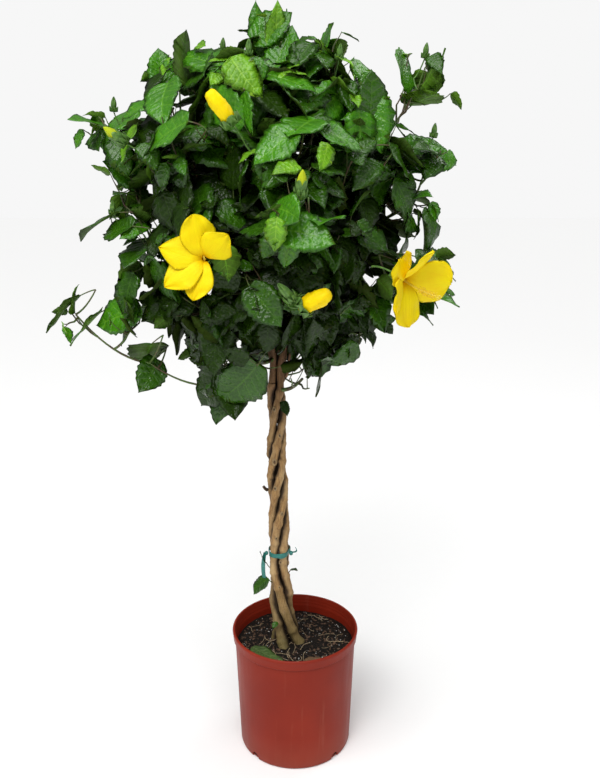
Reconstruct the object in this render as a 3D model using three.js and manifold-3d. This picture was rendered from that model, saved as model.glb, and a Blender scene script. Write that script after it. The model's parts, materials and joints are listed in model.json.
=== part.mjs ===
// Hibiscus grown as a standard: four plaited stems carry a round head of leaves
// above a plain 10 inch nursery pot.  Millimetres, +Z up, -Y is the front.
// The origin is the centre of the pot's flat underside.

import * as THREE from 'three';
import { mergeVertices } from 'three/addons/utils/BufferGeometryUtils.js';
import Module from 'manifold-3d';

const wasm = await Module();
wasm.setup();

// ---------------------------------------------------------------- driving sizes

const GAP = 0.3; // left between pieces that touch
const FACES_ROUND = 36; // facets round the pot and the root ball

const POT = {
  height: 255,
  rimRadius: 127,
  baseRadius: 113.5,
  wall: 2.4,
  floor: 4,
  cornerRadius: 4,
  bandHeight: 21, // the thick band under the lip
  bandStep: 3.4, // how far the band stands out from the wall
  taper: 0.036, // growth in radius for each mm of height
  innerSteps: 3, // ridges moulded inside the rim
  groove: 1.5, // slope under the band
  lipFlat: 2, // flat top of the lip
  lipRound: 2, // how far its outer edge is rounded in
  lipDrop: 3, // height of that rounding
  lipLean: 0.6, // the band is narrower than the lip by this
  lipLeanDrop: 7,
};
const DRAIN = { count: 4, width: 18, height: 13, depth: 9, firstAngle: -45, below: 5, faces: 6 };
const SOIL_TOP = 221;

const PLAIT = {
  stems: 4,
  baseX: -14, // where the plait stands at soil level
  forkX: -34, // where it forks: it leans left at the foot, then runs straight up
  leanLength: 95,
  forkHeight: 762,
  forkStagger: 9, // each stem forks a little higher than the last
  radiusLow: 9.4,
  radiusHigh: 7.2,
  flare: 3.6, // extra radius at the root flare
  flareLength: 30,
  splay: 5, // how far the feet spread outward
  splayLength: 42,
  tieHeight: 423, // the twist changes hand at the tie
  twistLow: -0.7, // degrees for each mm below the tie
  twistHigh: 1.12, // degrees for each mm above it
  twistBlend: 16,
  firstAngle: -110,
  packing: 1.54, // distance from the plait's axis, in stem radii
  cutDepth: 12, // each stem is made this much too deep, then cut flat at soil level
  sides: 6,
  steps: 26,
};

const TIE = {
  height: 11,
  thickness: 1.4,
  tailLength: 58,
  tailWidth: 10,
  tailForward: 4, // the tail hangs a little in front of the plait's left side
  slack: 0.8,
  faces: 18,
};

// The masses of foliage: uneven ellipsoids, cut flat where two of them meet.
const LUMP = {
  gap: 0.5, // left between two of them
  fill: 0.84, // plain radius, in half lengths
  corners: 8, // blunt corners on each
  cornerLow: 0.14, // how far the smallest corner stands out, in plain radii
  cornerRange: 0.26,
  cornerPower: 6, // higher is sharper
  angleSpread: 10, // degrees
  ringSpread: 0.12,
  heightSpread: 20,
  tierDetail: 3,
  shootDetail: 2,
  fineHeight: 60, // a mass with a half height under this gets the shoots' detail
};

// Rings of foliage from the bottom of the head to the top: the ring's centre and
// radius, and the half lengths of each mass outward, sideways and up.
const TIERS = [
  { name: 'foliage_fringe', x: -42, z: 799, ring: 68, count: 3, turn: 195, size: [60, 62, 46] },
  { name: 'foliage_skirt', x: -58, z: 858, ring: 100, count: 4, turn: 250, size: [78, 96, 64] },
  { name: 'foliage_lower', x: -46, z: 956, ring: 130, count: 5, turn: 200, size: [90, 100, 74] },
  { name: 'foliage_middle', x: -38, z: 1068, ring: 144, count: 5, turn: 236, size: [98, 106, 78] },
  { name: 'foliage_shoulder', x: -36, z: 1178, ring: 158, count: 5, turn: 205, size: [108, 112, 82] },
  { name: 'foliage_crest', x: -34, z: 1278, ring: 98, count: 4, turn: 245, size: [92, 90, 64] },
  { name: 'foliage_leader', x: -33, z: 1347, ring: 4, count: 1, turn: 180, size: [48, 44, 66] },
];

// Single shoots that stand out of the head: centre and half lengths in X, Y and Z.
const SHOOTS = [
  { name: 'shoot_far_left', at: [-386, -60, 908], size: [50, 44, 46] },
  { name: 'shoot_low_left', at: [-288, -50, 896], size: [58, 46, 42] },
  { name: 'shoot_droop_left', at: [-266, -30, 812], size: [26, 30, 44] },
  { name: 'shoot_droop_front', at: [-128, -70, 772], size: [38, 34, 52] },
  { name: 'shoot_wing_left', at: [-318, -20, 1056], size: [62, 50, 34] },
  { name: 'shoot_side_left', at: [-286, 20, 1130], size: [42, 46, 34] },
  { name: 'shoot_flower_left', at: [-238, -60, 1026], size: [48, 52, 56] },
  { name: 'shoot_upper_left', at: [-306, 10, 1220], size: [60, 50, 36] },
  { name: 'shoot_crest_left', at: [-190, 0, 1318], size: [68, 46, 34] },
  { name: 'shoot_crest_right', at: [56, -10, 1338], size: [46, 40, 36] },
  { name: 'shoot_upper_right', at: [204, 0, 1284], size: [74, 56, 48] },
  { name: 'shoot_wing_right', at: [232, 10, 1180], size: [50, 52, 44] },
  { name: 'shoot_side_right', at: [205, 0, 1096], size: [42, 46, 42] },
  { name: 'shoot_flower_right', at: [210, -80, 970], size: [68, 60, 62] },
  { name: 'shoot_low_right', at: [112, -30, 888], size: [44, 44, 34] },
  { name: 'shoot_rear', at: [-60, 262, 1120], size: [72, 54, 56] },
  { name: 'shoot_front', at: [10, -252, 1092], size: [66, 48, 60] },
];

// Boughs: the stem each one grows from, how far below that stem's tip it starts,
// its radius there, and the mass it runs into.
const BOUGHS = [
  { name: 'bough_leader', stem: 2, below: 0, radius: 6.6, into: 'foliage_leader', bow: 26 },
  { name: 'bough_left', stem: 1, below: 0, radius: 6.6, into: 'foliage_shoulder_1', bow: 18 },
  { name: 'bough_right', stem: 3, below: 0, radius: 6.6, into: 'foliage_shoulder_3', bow: 18 },
  { name: 'bough_front', stem: 4, below: 0, radius: 6.4, into: 'foliage_shoulder_2', bow: 16 },
  { name: 'bough_rear', stem: 3, below: 24, radius: 5.6, into: 'foliage_shoulder_4', bow: 16 },
  { name: 'bough_low_right', stem: 4, below: 22, radius: 4.8, into: 'foliage_lower_3', bow: 14 },
  { name: 'bough_low_rear', stem: 2, below: 26, radius: 4.6, into: 'foliage_lower_4', bow: 12 },
  { name: 'bough_low_left', stem: 1, below: 30, radius: 4.4, into: 'foliage_skirt_4', bow: 10 },
];

const BOUGH = {
  bend: 0.45, // where along it the bough bows inward
  lift: 0.06, // rise of the bow, in the bough's whole rise
  lead: 0.12, // height of its first point, in its whole rise
  tipStep: 3, // a bough on a stem's tip leaves it almost straight
  sideStep: 14, // one lower down first reaches out by this
  sink: 4, // how far a tip bough starts inside its stem
  entry: 12, // how far it runs into its mass
  thinning: 0.45, // part of its radius lost by its end
  sides: 5,
  steps: 7,
};

const COLOURS = {
  pot: [0x8c2d1c, 0.42],
  soil: [0x1d1713, 0.95],
  bark: [0x9a7a4a, 0.75],
  tie: [0x0f6f68, 0.5],
  leaf: [0x2f5d1e, 0.6],
};

// ---------------------------------------------------------------- small helpers

const radians = THREE.MathUtils.degToRad;

/** A repeatable stream of numbers from 0 to 1 for one seed. */
function stream(seed) {
  let state = seed >>> 0;
  return () => {
    state = (state + 0x6d2b79f5) >>> 0;
    let mixed = Math.imul(state ^ (state >>> 15), 1 | state);
    mixed = (mixed + Math.imul(mixed ^ (mixed >>> 7), 61 | mixed)) ^ mixed;
    return ((mixed ^ (mixed >>> 14)) >>> 0) / 4294967296;
  };
}

/** A random unit vector from such a stream. */
function randomDirection(next) {
  const up = 2 * next() - 1;
  const turn = 2 * Math.PI * next();
  const flat = Math.sqrt(1 - up * up);
  return new THREE.Vector3(flat * Math.cos(turn), flat * Math.sin(turn), up);
}

/** Keep only the positions and share the vertices, as a closed solid needs. */
function shared(geometry) {
  geometry.deleteAttribute('normal');
  geometry.deleteAttribute('uv');
  return mergeVertices(geometry, 1e-4);
}

function toSolid(geometry) {
  const clean = shared(geometry);
  return new wasm.Manifold(new wasm.Mesh({
    numProp: 3,
    vertProperties: new Float32Array(clean.attributes.position.array),
    triVerts: new Uint32Array(clean.index.array),
  }));
}

function toGeometry(solid) {
  const mesh = solid.getMesh();
  const geometry = new THREE.BufferGeometry();
  geometry.setAttribute('position', new THREE.BufferAttribute(mesh.vertProperties, 3));
  geometry.setIndex(new THREE.BufferAttribute(mesh.triVerts, 1));
  return geometry;
}

/** The largest of the separate bodies that a cut has left. */
function mainBody(solid) {
  return solid.decompose().sort((a, b) => b.volume() - a.volume())[0];
}

function finished(name, geometry, [colour, roughness]) {
  geometry.computeVertexNormals();
  const material = new THREE.MeshStandardMaterial({ color: colour, roughness, metalness: 0 });
  const mesh = new THREE.Mesh(geometry, material);
  mesh.name = name;
  return mesh;
}

/** A profile of [radius, height] pairs turned round the Z axis. */
function turned(profile, faces = FACES_ROUND) {
  const points = profile.map(([radius, height]) => new THREE.Vector2(radius, height));
  return new THREE.LatheGeometry(points, faces).rotateX(Math.PI / 2);
}

// ---------------------------------------------------------------- pot and soil

const bandBottom = POT.height - POT.bandHeight;
const outerRadius = (z) => POT.baseRadius + POT.taper * Math.max(z - POT.cornerRadius, 0);
const innerRadius = (z) => outerRadius(z) - POT.wall;

function makePot() {
  const bandRadius = outerRadius(bandBottom) + POT.bandStep;
  const lipInner = POT.rimRadius - POT.lipRound - POT.lipFlat;
  const profile = [
    [0, 0],
    [POT.baseRadius - POT.cornerRadius, 0],
    [POT.baseRadius, POT.cornerRadius],
    [outerRadius(bandBottom), bandBottom],
    [bandRadius, bandBottom + POT.groove],
    [POT.rimRadius - POT.lipLean, POT.height - POT.lipLeanDrop],
    [POT.rimRadius, POT.height - POT.lipDrop],
    [POT.rimRadius - POT.lipRound, POT.height],
    [lipInner, POT.height],
  ];
  // ridges step inward down the inside of the rim
  const ridgeHeight = POT.bandHeight / POT.innerSteps;
  for (let step = 0; step < POT.innerSteps; step += 1) {
    const top = POT.height - POT.lipDrop - step * ridgeHeight;
    const across = (step + 1) / POT.innerSteps;
    profile.push([lipInner + (innerRadius(bandBottom) - lipInner) * across, top]);
  }
  profile.push([innerRadius(POT.floor), POT.floor], [0, POT.floor]);
  let solid = toSolid(turned(profile));

  // drain arches cut through the bottom corner
  for (let index = 0; index < DRAIN.count; index += 1) {
    const arch = new THREE.Shape();
    const half = DRAIN.width / 2;
    arch.moveTo(-half, -DRAIN.below);
    arch.lineTo(half, -DRAIN.below);
    arch.lineTo(half, DRAIN.height - half);
    arch.absarc(0, DRAIN.height - half, half, 0, Math.PI, false);
    arch.lineTo(-half, -DRAIN.below);
    const sizes = { depth: 2 * DRAIN.depth, bevelEnabled: false, curveSegments: DRAIN.faces };
    const cutter = new THREE.ExtrudeGeometry(arch, sizes);
    cutter.rotateX(Math.PI / 2);
    cutter.translate(0, -(POT.baseRadius - DRAIN.depth), 0);
    cutter.rotateZ(radians(DRAIN.firstAngle + (360 / DRAIN.count) * index));
    solid = solid.subtract(toSolid(cutter));
  }
  return finished('pot', toGeometry(mainBody(solid)), COLOURS.pot);
}

function makeSoil() {
  const profile = [
    [0, POT.floor + GAP],
    [innerRadius(POT.floor) - 2 * GAP, POT.floor + GAP],
    [innerRadius(SOIL_TOP) - 2 * GAP, SOIL_TOP],
    [0, SOIL_TOP],
  ];
  return finished('potting_mix', shared(turned(profile)), COLOURS.soil);
}

// ---------------------------------------------------------------- limbs

/** How far a stem has turned round the plait's axis at a height, in degrees. */
function twist(z) {
  const bend = PLAIT.twistBlend;
  const above = bend * Math.log(1 + Math.exp((z - PLAIT.tieHeight) / bend));
  return PLAIT.firstAngle + PLAIT.twistLow * (z - SOIL_TOP)
    + (PLAIT.twistHigh - PLAIT.twistLow) * above;
}

function plaitAxisX(z) {
  const lean = Math.exp(-Math.max(z - SOIL_TOP, 0) / PLAIT.leanLength);
  return PLAIT.forkX + (PLAIT.baseX - PLAIT.forkX) * lean;
}

function stemRadius(z) {
  const along = (z - SOIL_TOP) / (PLAIT.forkHeight - SOIL_TOP);
  const plain = PLAIT.radiusLow + (PLAIT.radiusHigh - PLAIT.radiusLow) * along;
  return plain + PLAIT.flare * Math.exp(-Math.max(z - SOIL_TOP, 0) / PLAIT.flareLength);
}

function plaitRadius(z) {
  const spread = PLAIT.splay * Math.exp(-Math.max(z - SOIL_TOP, 0) / PLAIT.splayLength);
  return PLAIT.packing * stemRadius(z) + spread;
}

/** The centre line of one stem of the plait, from just under the soil to its fork. */
class PlaitedStem extends THREE.Curve {
  constructor(index) {
    super();
    this.index = index;
    this.bottom = SOIL_TOP - PLAIT.cutDepth;
    this.top = PLAIT.forkHeight + PLAIT.forkStagger * index;
  }

  getPoint(t, target = new THREE.Vector3()) {
    const z = this.bottom + (this.top - this.bottom) * t;
    const angle = radians(twist(z) + (360 / PLAIT.stems) * this.index);
    const radius = plaitRadius(z);
    return target.set(plaitAxisX(z) + radius * Math.cos(angle), radius * Math.sin(angle), z);
  }
}

/**
 * A closed round limb along a curve: a capped cylinder bent to follow it.
 * `radiusAt(t, point)` is the limb's radius; `grow` makes it larger all round,
 * for cutting its neighbours clear of it.
 */
function limb(curve, radiusAt, sides, steps, grow = 0) {
  const geometry = new THREE.CylinderGeometry(1, 1, 1, sides, steps);
  geometry.translate(0, 0.5, 0);
  const frames = curve.computeFrenetFrames(steps, false);
  const position = geometry.attributes.position;
  for (let index = 0; index < position.count; index += 1) {
    const t = position.getY(index);
    const step = Math.round(t * steps);
    const centre = curve.getPointAt(t);
    const radius = radiusAt(t, centre) + grow;
    if (step === 0) centre.addScaledVector(frames.tangents[step], -grow);
    if (step === steps) centre.addScaledVector(frames.tangents[step], grow);
    centre.addScaledVector(frames.normals[step], radius * position.getX(index));
    centre.addScaledVector(frames.binormals[step], -radius * position.getZ(index));
    position.setXYZ(index, centre.x, centre.y, centre.z);
  }
  return toSolid(geometry);
}

/** Everything below the soil's surface, to cut the stems off flat. */
function belowSoil() {
  const box = new THREE.BoxGeometry(400, 400, 200);
  box.translate(0, 0, SOIL_TOP + GAP - 100);
  return toSolid(box);
}

// ---------------------------------------------------------------- foliage

/** One uneven lump of leaves; `axes` are its outward, sideways and upward directions. */
class Lump {
  constructor(name, centre, outward, size, seed, detail) {
    const up = new THREE.Vector3(0, 0, 1);
    const side = new THREE.Vector3().crossVectors(up, outward).normalize();
    const lift = new THREE.Vector3().crossVectors(outward, side);
    const next = stream(seed);
    this.name = name;
    this.centre = centre;
    this.axes = [outward, side, lift];
    this.size = size;
    this.detail = detail;
    this.walls = [];
    // blunt corners where sprays of leaves stand out of the lump
    this.corners = Array.from({ length: LUMP.corners }, () => ({
      towards: randomDirection(next),
      height: LUMP.cornerLow + LUMP.cornerRange * next(),
    }));
    this.turn = new THREE.Euler(Math.PI * next(), Math.PI * next(), Math.PI * next());
  }

  /** The lump's own radius in a direction, before its neighbours cut it. */
  ownRadius(direction) {
    const squares = this.axes.map((axis, index) => (direction.dot(axis) / this.size[index]) ** 2);
    const plain = LUMP.fill / Math.sqrt(squares[0] + squares[1] + squares[2]);
    const swell = this.corners.reduce((sum, corner) => {
      const facing = Math.max(direction.dot(corner.towards), 0);
      return sum + corner.height * facing ** LUMP.cornerPower;
    }, 0);
    return plain * (1 + swell);
  }

  /** Share the space between two lumps with one flat wall. */
  meet(other) {
    const towards = new THREE.Vector3().subVectors(other.centre, this.centre);
    const distance = towards.length();
    towards.divideScalar(distance);
    const mine = this.ownRadius(towards);
    const theirs = other.ownRadius(towards.clone().negate());
    const wall = (distance * mine) / (mine + theirs) - LUMP.gap / 2;
    this.walls.push({ normal: towards, distance: wall });
  }

  radius(direction) {
    return this.walls.reduce((radius, wall) => {
      const facing = direction.dot(wall.normal);
      return facing > 1e-6 ? Math.min(radius, wall.distance / facing) : radius;
    }, this.ownRadius(direction));
  }

  holds(point) {
    const offset = new THREE.Vector3().subVectors(point, this.centre);
    const distance = offset.length();
    return distance < 1e-6 || distance < this.radius(offset.divideScalar(distance));
  }

  solid() {
    const ball = new THREE.OctahedronGeometry(1, this.detail);
    const geometry = shared(ball.applyMatrix4(new THREE.Matrix4().makeRotationFromEuler(this.turn)));
    const position = geometry.attributes.position;
    for (let index = 0; index < position.count; index += 1) {
      const direction = new THREE.Vector3().fromBufferAttribute(position, index).normalize();
      const point = direction.clone().multiplyScalar(this.radius(direction)).add(this.centre);
      position.setXYZ(index, point.x, point.y, point.z);
    }
    return toSolid(geometry);
  }
}

function makeLumps() {
  const lumps = [];
  for (const tier of TIERS) {
    for (let index = 0; index < tier.count; index += 1) {
      const name = tier.count > 1 ? `${tier.name}_${index + 1}` : tier.name;
      const next = stream(100 * tier.z + index);
      const turn = tier.turn + (360 / tier.count) * index + LUMP.angleSpread * (next() - 0.5);
      const angle = radians(turn);
      const outward = new THREE.Vector3(Math.cos(angle), Math.sin(angle), 0);
      const ring = tier.ring * (1 + LUMP.ringSpread * (next() - 0.5));
      const height = tier.z + LUMP.heightSpread * (next() - 0.5);
      const centre = new THREE.Vector3(tier.x, 0, height);
      centre.addScaledVector(outward, ring);
      const detail = tier.size[2] < LUMP.fineHeight ? LUMP.shootDetail : LUMP.tierDetail;
      lumps.push(new Lump(name, centre, outward, tier.size, 7 * tier.z + index, detail));
    }
  }
  SHOOTS.forEach((shoot, index) => {
    const centre = new THREE.Vector3(...shoot.at);
    const along = new THREE.Vector3(1, 0, 0);
    lumps.push(new Lump(shoot.name, centre, along, shoot.size, 9001 + index, LUMP.shootDetail));
  });
  for (const lump of lumps) {
    lumps.filter((other) => other !== lump).forEach((other) => lump.meet(other));
  }
  return lumps;
}

// ---------------------------------------------------------------- assembly

/** A bough's curve: out of its stem, bowed outward, and just inside its mass. */
function boughCurve(spec, stem, lump) {
  const startHeight = stem.top - spec.below;
  const t = (startHeight - stem.bottom) / (stem.top - stem.bottom);
  const start = stem.getPoint(t);
  if (spec.below === 0) start.addScaledVector(stem.getTangent(1), -BOUGH.sink);
  const goal = lump.centre.clone();
  const rise = goal.z - start.z;
  const middle = start.clone().lerp(goal, BOUGH.bend);
  const outward = new THREE.Vector3(goal.x - start.x, goal.y - start.y, 0).normalize();
  middle.addScaledVector(outward, -spec.bow);
  middle.z += BOUGH.lift * rise;
  const lead = start.clone().add(new THREE.Vector3(0, 0, BOUGH.lead * rise));
  lead.addScaledVector(outward, spec.below === 0 ? BOUGH.tipStep : BOUGH.sideStep);
  return new THREE.CatmullRomCurve3([start, lead, middle, goal], false, 'centripetal');
}

/** The part of a curve up to just inside the lump that it runs into. */
class TrimmedCurve extends THREE.Curve {
  constructor(whole, end) {
    super();
    this.whole = whole;
    this.end = end;
  }

  getPoint(t, target = new THREE.Vector3()) {
    return this.whole.getPointAt(t * this.end, target);
  }
}

function trimmedAt(curve, lump) {
  const length = curve.getLength();
  let along = 0;
  while (along < length && !lump.holds(curve.getPointAt(along / length))) along += 1;
  return new TrimmedCurve(curve, Math.min((along + BOUGH.entry) / length, 1));
}

function makeTie() {
  const z = PLAIT.tieHeight;
  const inner = plaitRadius(z) + stemRadius(z) + TIE.slack;
  const outer = inner + TIE.thickness;
  const half = TIE.height / 2;
  const section = [[inner, -half], [outer, -half], [outer, half], [inner, half], [inner, -half]];
  const band = turned(section, TIE.faces);
  const tail = new THREE.BoxGeometry(TIE.thickness, TIE.tailWidth, TIE.tailLength);
  tail.translate(-(inner + TIE.thickness / 2), -TIE.tailForward, half - TIE.tailLength / 2);
  const solid = toSolid(band).add(toSolid(tail)).translate([plaitAxisX(z), 0, z]);
  return finished('plant_tie', toGeometry(solid), COLOURS.tie);
}

function buildPlant() {
  const plant = new THREE.Group();
  plant.add(makePot(), makeSoil(), makeTie());

  // stems and boughs: each later limb is cut clear of those before it
  const ground = belowSoil();
  const cutters = [];
  const addLimb = (name, curve, radiusAt, sides, steps) => {
    let solid = limb(curve, radiusAt, sides, steps).subtract(ground);
    for (const cutter of cutters) solid = solid.subtract(cutter);
    plant.add(finished(name, toGeometry(mainBody(solid)), COLOURS.bark));
    cutters.push(limb(curve, radiusAt, sides, steps, GAP));
  };

  const stems = Array.from({ length: PLAIT.stems }, (_, index) => new PlaitedStem(index));
  stems.forEach((stem, index) => {
    const radiusAt = (t, point) => stemRadius(point.z);
    addLimb(`stem_${index + 1}`, stem, radiusAt, PLAIT.sides, PLAIT.steps);
  });

  const lumps = makeLumps();
  for (const spec of BOUGHS) {
    const lump = lumps.find((candidate) => candidate.name === spec.into);
    const curve = trimmedAt(boughCurve(spec, stems[spec.stem - 1], lump), lump);
    const radiusAt = (t) => spec.radius * (1 - BOUGH.thinning * t);
    addLimb(spec.name, curve, radiusAt, BOUGH.sides, BOUGH.steps);
  }

  // masses of foliage, cut round every limb that runs through or into them
  for (const lump of lumps) {
    let solid = lump.solid();
    for (const cutter of cutters) solid = solid.subtract(cutter);
    plant.add(finished(lump.name, toGeometry(mainBody(solid)), COLOURS.leaf));
  }
  return plant;
}

export default buildPlant();
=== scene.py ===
"""Hibiscus grown as a standard: a plaited trunk and a leafy head in a round nursery pot.

Metres, +Z up, the front of the plant towards -Y, the origin under the middle of the pot.
"""

import json
import logging
import math
import random
from dataclasses import dataclass, field
from enum import Enum

import bmesh
import bpy
from mathutils import Matrix, Vector, noise

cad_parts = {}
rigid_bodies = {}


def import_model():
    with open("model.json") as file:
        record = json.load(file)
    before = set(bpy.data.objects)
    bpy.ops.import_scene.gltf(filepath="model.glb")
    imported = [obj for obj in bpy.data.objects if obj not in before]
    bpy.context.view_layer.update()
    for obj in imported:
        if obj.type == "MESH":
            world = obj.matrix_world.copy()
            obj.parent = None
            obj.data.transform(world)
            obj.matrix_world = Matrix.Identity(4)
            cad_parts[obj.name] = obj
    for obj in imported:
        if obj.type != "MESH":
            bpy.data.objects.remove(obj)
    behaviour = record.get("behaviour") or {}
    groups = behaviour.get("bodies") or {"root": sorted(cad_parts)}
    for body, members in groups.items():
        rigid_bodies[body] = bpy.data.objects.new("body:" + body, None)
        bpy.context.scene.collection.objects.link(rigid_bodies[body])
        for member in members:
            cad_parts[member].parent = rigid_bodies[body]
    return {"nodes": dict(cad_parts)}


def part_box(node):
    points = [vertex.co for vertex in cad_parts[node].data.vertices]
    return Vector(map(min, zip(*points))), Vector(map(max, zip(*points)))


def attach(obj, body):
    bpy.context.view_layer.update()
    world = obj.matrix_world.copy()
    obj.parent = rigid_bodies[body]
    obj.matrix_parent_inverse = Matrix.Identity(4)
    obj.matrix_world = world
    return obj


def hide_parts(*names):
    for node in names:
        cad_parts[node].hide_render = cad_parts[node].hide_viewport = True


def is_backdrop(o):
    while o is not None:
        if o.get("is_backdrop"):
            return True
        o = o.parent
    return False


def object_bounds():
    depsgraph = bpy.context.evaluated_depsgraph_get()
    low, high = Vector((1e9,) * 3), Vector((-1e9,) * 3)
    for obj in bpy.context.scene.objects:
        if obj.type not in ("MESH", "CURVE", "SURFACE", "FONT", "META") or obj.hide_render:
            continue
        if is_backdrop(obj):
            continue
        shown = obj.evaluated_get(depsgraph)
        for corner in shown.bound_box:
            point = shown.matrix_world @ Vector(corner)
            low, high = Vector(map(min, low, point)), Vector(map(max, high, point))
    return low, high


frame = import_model()
log = logging.getLogger("hibiscus")

Colour = Point = tuple[float, float, float]
Material = bpy.types.Material
Socket = bpy.types.NodeSocket
Value = Socket | float
UP = Vector((0.0, 0.0, 1.0))


class Tone(Enum):
    """How old a spray of leaves is, and its painted light and shade: darker inside and low in the head,
    brighter at the top and outside.
    """

    YOUNG = "young"
    BRIGHT = "bright"
    MID = "mid"
    DEEP = "deep"
    SHADE = "shade"


class BudKind(Enum):
    """How far a flower bud has come."""

    GREEN = "green"
    SHOWING = "showing"
    ROLLED = "rolled"


# ---- node helpers


class Graph:
    """Adds and joins the nodes of one node tree."""

    def __init__(self, tree: bpy.types.NodeTree) -> None:
        """Keep the tree to work on."""
        self.tree = tree

    def add(self, kind: str, inputs: dict | None = None, **settings) -> bpy.types.Node:
        """Add one node.

        Args:
            kind: The node's type name.
            inputs: Socket name or index, and the value or output socket to put there.
            **settings: Properties of the node itself.

        Returns:
            The new node.
        """
        node = self.tree.nodes.new(kind)
        for name, value in settings.items():
            setattr(node, name, value)
        self.fill(node, inputs or {})
        return node

    def fill(self, node: bpy.types.Node, inputs: dict) -> None:
        """Join sockets, or give values, to a node's inputs by name or index."""
        for key, value in inputs.items():
            if isinstance(value, Socket):
                self.tree.links.new(value, node.inputs[key])
            else:
                node.inputs[key].default_value = value

    def math(self, operation: str, first: Value, second: Value = 0.0) -> Socket:
        """Return the output of a Math node for two numbers or sockets."""
        return self.add("ShaderNodeMath", {0: first, 1: second}, operation=operation).outputs[0]

    def blend(self, factor: Value, first: Colour | Socket, second: Colour | Socket) -> Socket:
        """Return the output of a colour Mix node.

        Args:
            factor: How much of the second colour.
            first: A colour or socket.
            second: A colour or socket.

        Returns:
            The mixed colour's socket.
        """
        colours = [c if isinstance(c, Socket) else (*c, 1.0) for c in (first, second)]
        inputs = {0: factor, 6: colours[0], 7: colours[1]}
        return self.add("ShaderNodeMix", inputs, data_type="RGBA").outputs[2]

    def spread(self, value: Value, low: float, high: float, to_low: float = 0.0,
               to_high: float = 1.0) -> Socket:
        """Return a value's range mapped on to another, held at its ends."""
        inputs = {0: value, 1: low, 2: high, 3: to_low, 4: to_high}
        return self.add("ShaderNodeMapRange", inputs).outputs[0]

    def noise(self, where: Socket, scale: float, detail: float = 3.0, rough: float = 0.5) -> Socket:
        """Return the grey output of a noise pattern on the given coordinates."""
        inputs = {"Vector": where, "Scale": scale, "Detail": detail, "Roughness": rough}
        return self.add("ShaderNodeTexNoise", inputs).outputs[0]

    def place(self) -> Socket:
        """Return the Object coordinates."""
        return self.add("ShaderNodeTexCoord").outputs["Object"]

    def stretched(self, where: Socket, scale: Point) -> Socket:
        """Return coordinates scaled differently on each axis."""
        return self.add("ShaderNodeMapping", {"Vector": where, "Scale": scale}).outputs[0]

    def relief(self, height: Socket, distance: float, strength: float, over: Socket | None = None) -> Socket:
        """Return a bumped normal.

        Args:
            height: The height pattern's socket.
            distance: The height of the relief.
            strength: How much of it shows.
            over: Another bumped normal to add this one to.

        Returns:
            The normal's socket.
        """
        inputs = {"Height": height, "Distance": distance, "Strength": strength}
        if over is not None:
            inputs["Normal"] = over
        return self.add("ShaderNodeBump", inputs).outputs[0]


def new_material(name: str) -> tuple[Material, Graph, bpy.types.Node]:
    """Start a node material.

    Args:
        name: The material's name.

    Returns:
        The material, its graph and its main shader node.
    """
    material = bpy.data.materials.new(name)
    material.use_nodes = True
    return material, Graph(material.node_tree), material.node_tree.nodes["Principled BSDF"]


# ---- finishes


class Finish:
    """A finish whose shader inputs are painted by nodes."""

    name: str

    def paint(self, graph: Graph) -> dict:
        """Return the main shader's inputs."""
        raise NotImplementedError

    def material(self) -> Material:
        """Return the finish as a material."""
        material, graph, shader = new_material(self.name)
        graph.fill(shader, self.paint(graph))
        return material


@dataclass(frozen=True)
class MouldedPlastic(Finish):
    """Satin pot plastic with a fine moulded grain, dust low down and light scuffs."""

    name: str = "pot_plastic"
    colour: Colour = (0.205, 0.013, 0.004)
    warm: Colour = (0.265, 0.020, 0.006)
    dust: Colour = (0.36, 0.14, 0.09)

    def paint(self, graph: Graph) -> dict:
        """Return the main shader's inputs."""
        place = graph.place()
        cloud = graph.noise(place, 7.0, 4.0)
        streaks = graph.noise(graph.stretched(place, (60.0, 60.0, 4.0)), 1.0, 4.0, 0.6)
        grain = graph.noise(place, 900.0, 2.0)
        height = graph.add("ShaderNodeSeparateXYZ", {0: place}).outputs[2]
        colour = graph.blend(graph.spread(cloud, 0.35, 0.7), self.colour, self.warm)
        low = graph.spread(height, 0.0, 0.07, 0.34, 0.05)
        colour = graph.blend(graph.math("MULTIPLY", low, streaks), colour, self.dust)
        scuffs = graph.spread(streaks, 0.62, 0.8, 0.0, 0.25)
        colour = graph.blend(scuffs, colour, self.dust)
        normal = graph.relief(grain, 0.00025, 0.5)
        normal = graph.relief(cloud, 0.004, 0.25, normal)
        rough = graph.spread(streaks, 0.3, 0.75, 0.36, 0.56)
        return {"Base Color": colour, "Roughness": rough, "Normal": normal,
                "Specular IOR Level": 0.16}


@dataclass(frozen=True)
class MoistMix(Finish):
    """Dark potting mix of peat and crumbs."""

    name: str = "potting_mix"
    dark: Colour = (0.0035, 0.0028, 0.0022)
    light: Colour = (0.026, 0.019, 0.014)

    def paint(self, graph: Graph) -> dict:
        """Return the main shader's inputs."""
        place = graph.place()
        crumbs = graph.noise(place, 260.0, 5.0, 0.7)
        patches = graph.noise(place, 45.0, 3.0)
        colour = graph.blend(graph.spread(crumbs, 0.42, 0.72), self.dark, self.light)
        colour = graph.blend(graph.spread(patches, 0.5, 0.8, 0.0, 0.5), colour, self.dark)
        normal = graph.relief(crumbs, 0.003, 1.0)
        return {"Base Color": colour, "Normal": normal,
                "Roughness": graph.spread(patches, 0.3, 0.7, 0.6, 0.95),
                "Specular IOR Level": 0.15}


@dataclass(frozen=True)
class Flecked(Finish):
    """A plain matt finish with a flecked colour, for small bits."""

    name: str
    dark: Colour
    light: Colour
    scale: float = 300.0
    depth: float = 0.0008
    roughness: float = 0.85

    def paint(self, graph: Graph) -> dict:
        """Return the main shader's inputs."""
        flecks = graph.noise(graph.place(), self.scale, 4.0, 0.6)
        colour = graph.blend(graph.spread(flecks, 0.35, 0.68), self.dark, self.light)
        return {"Base Color": colour, "Roughness": self.roughness,
                "Normal": graph.relief(flecks, self.depth, 0.8)}


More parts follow.
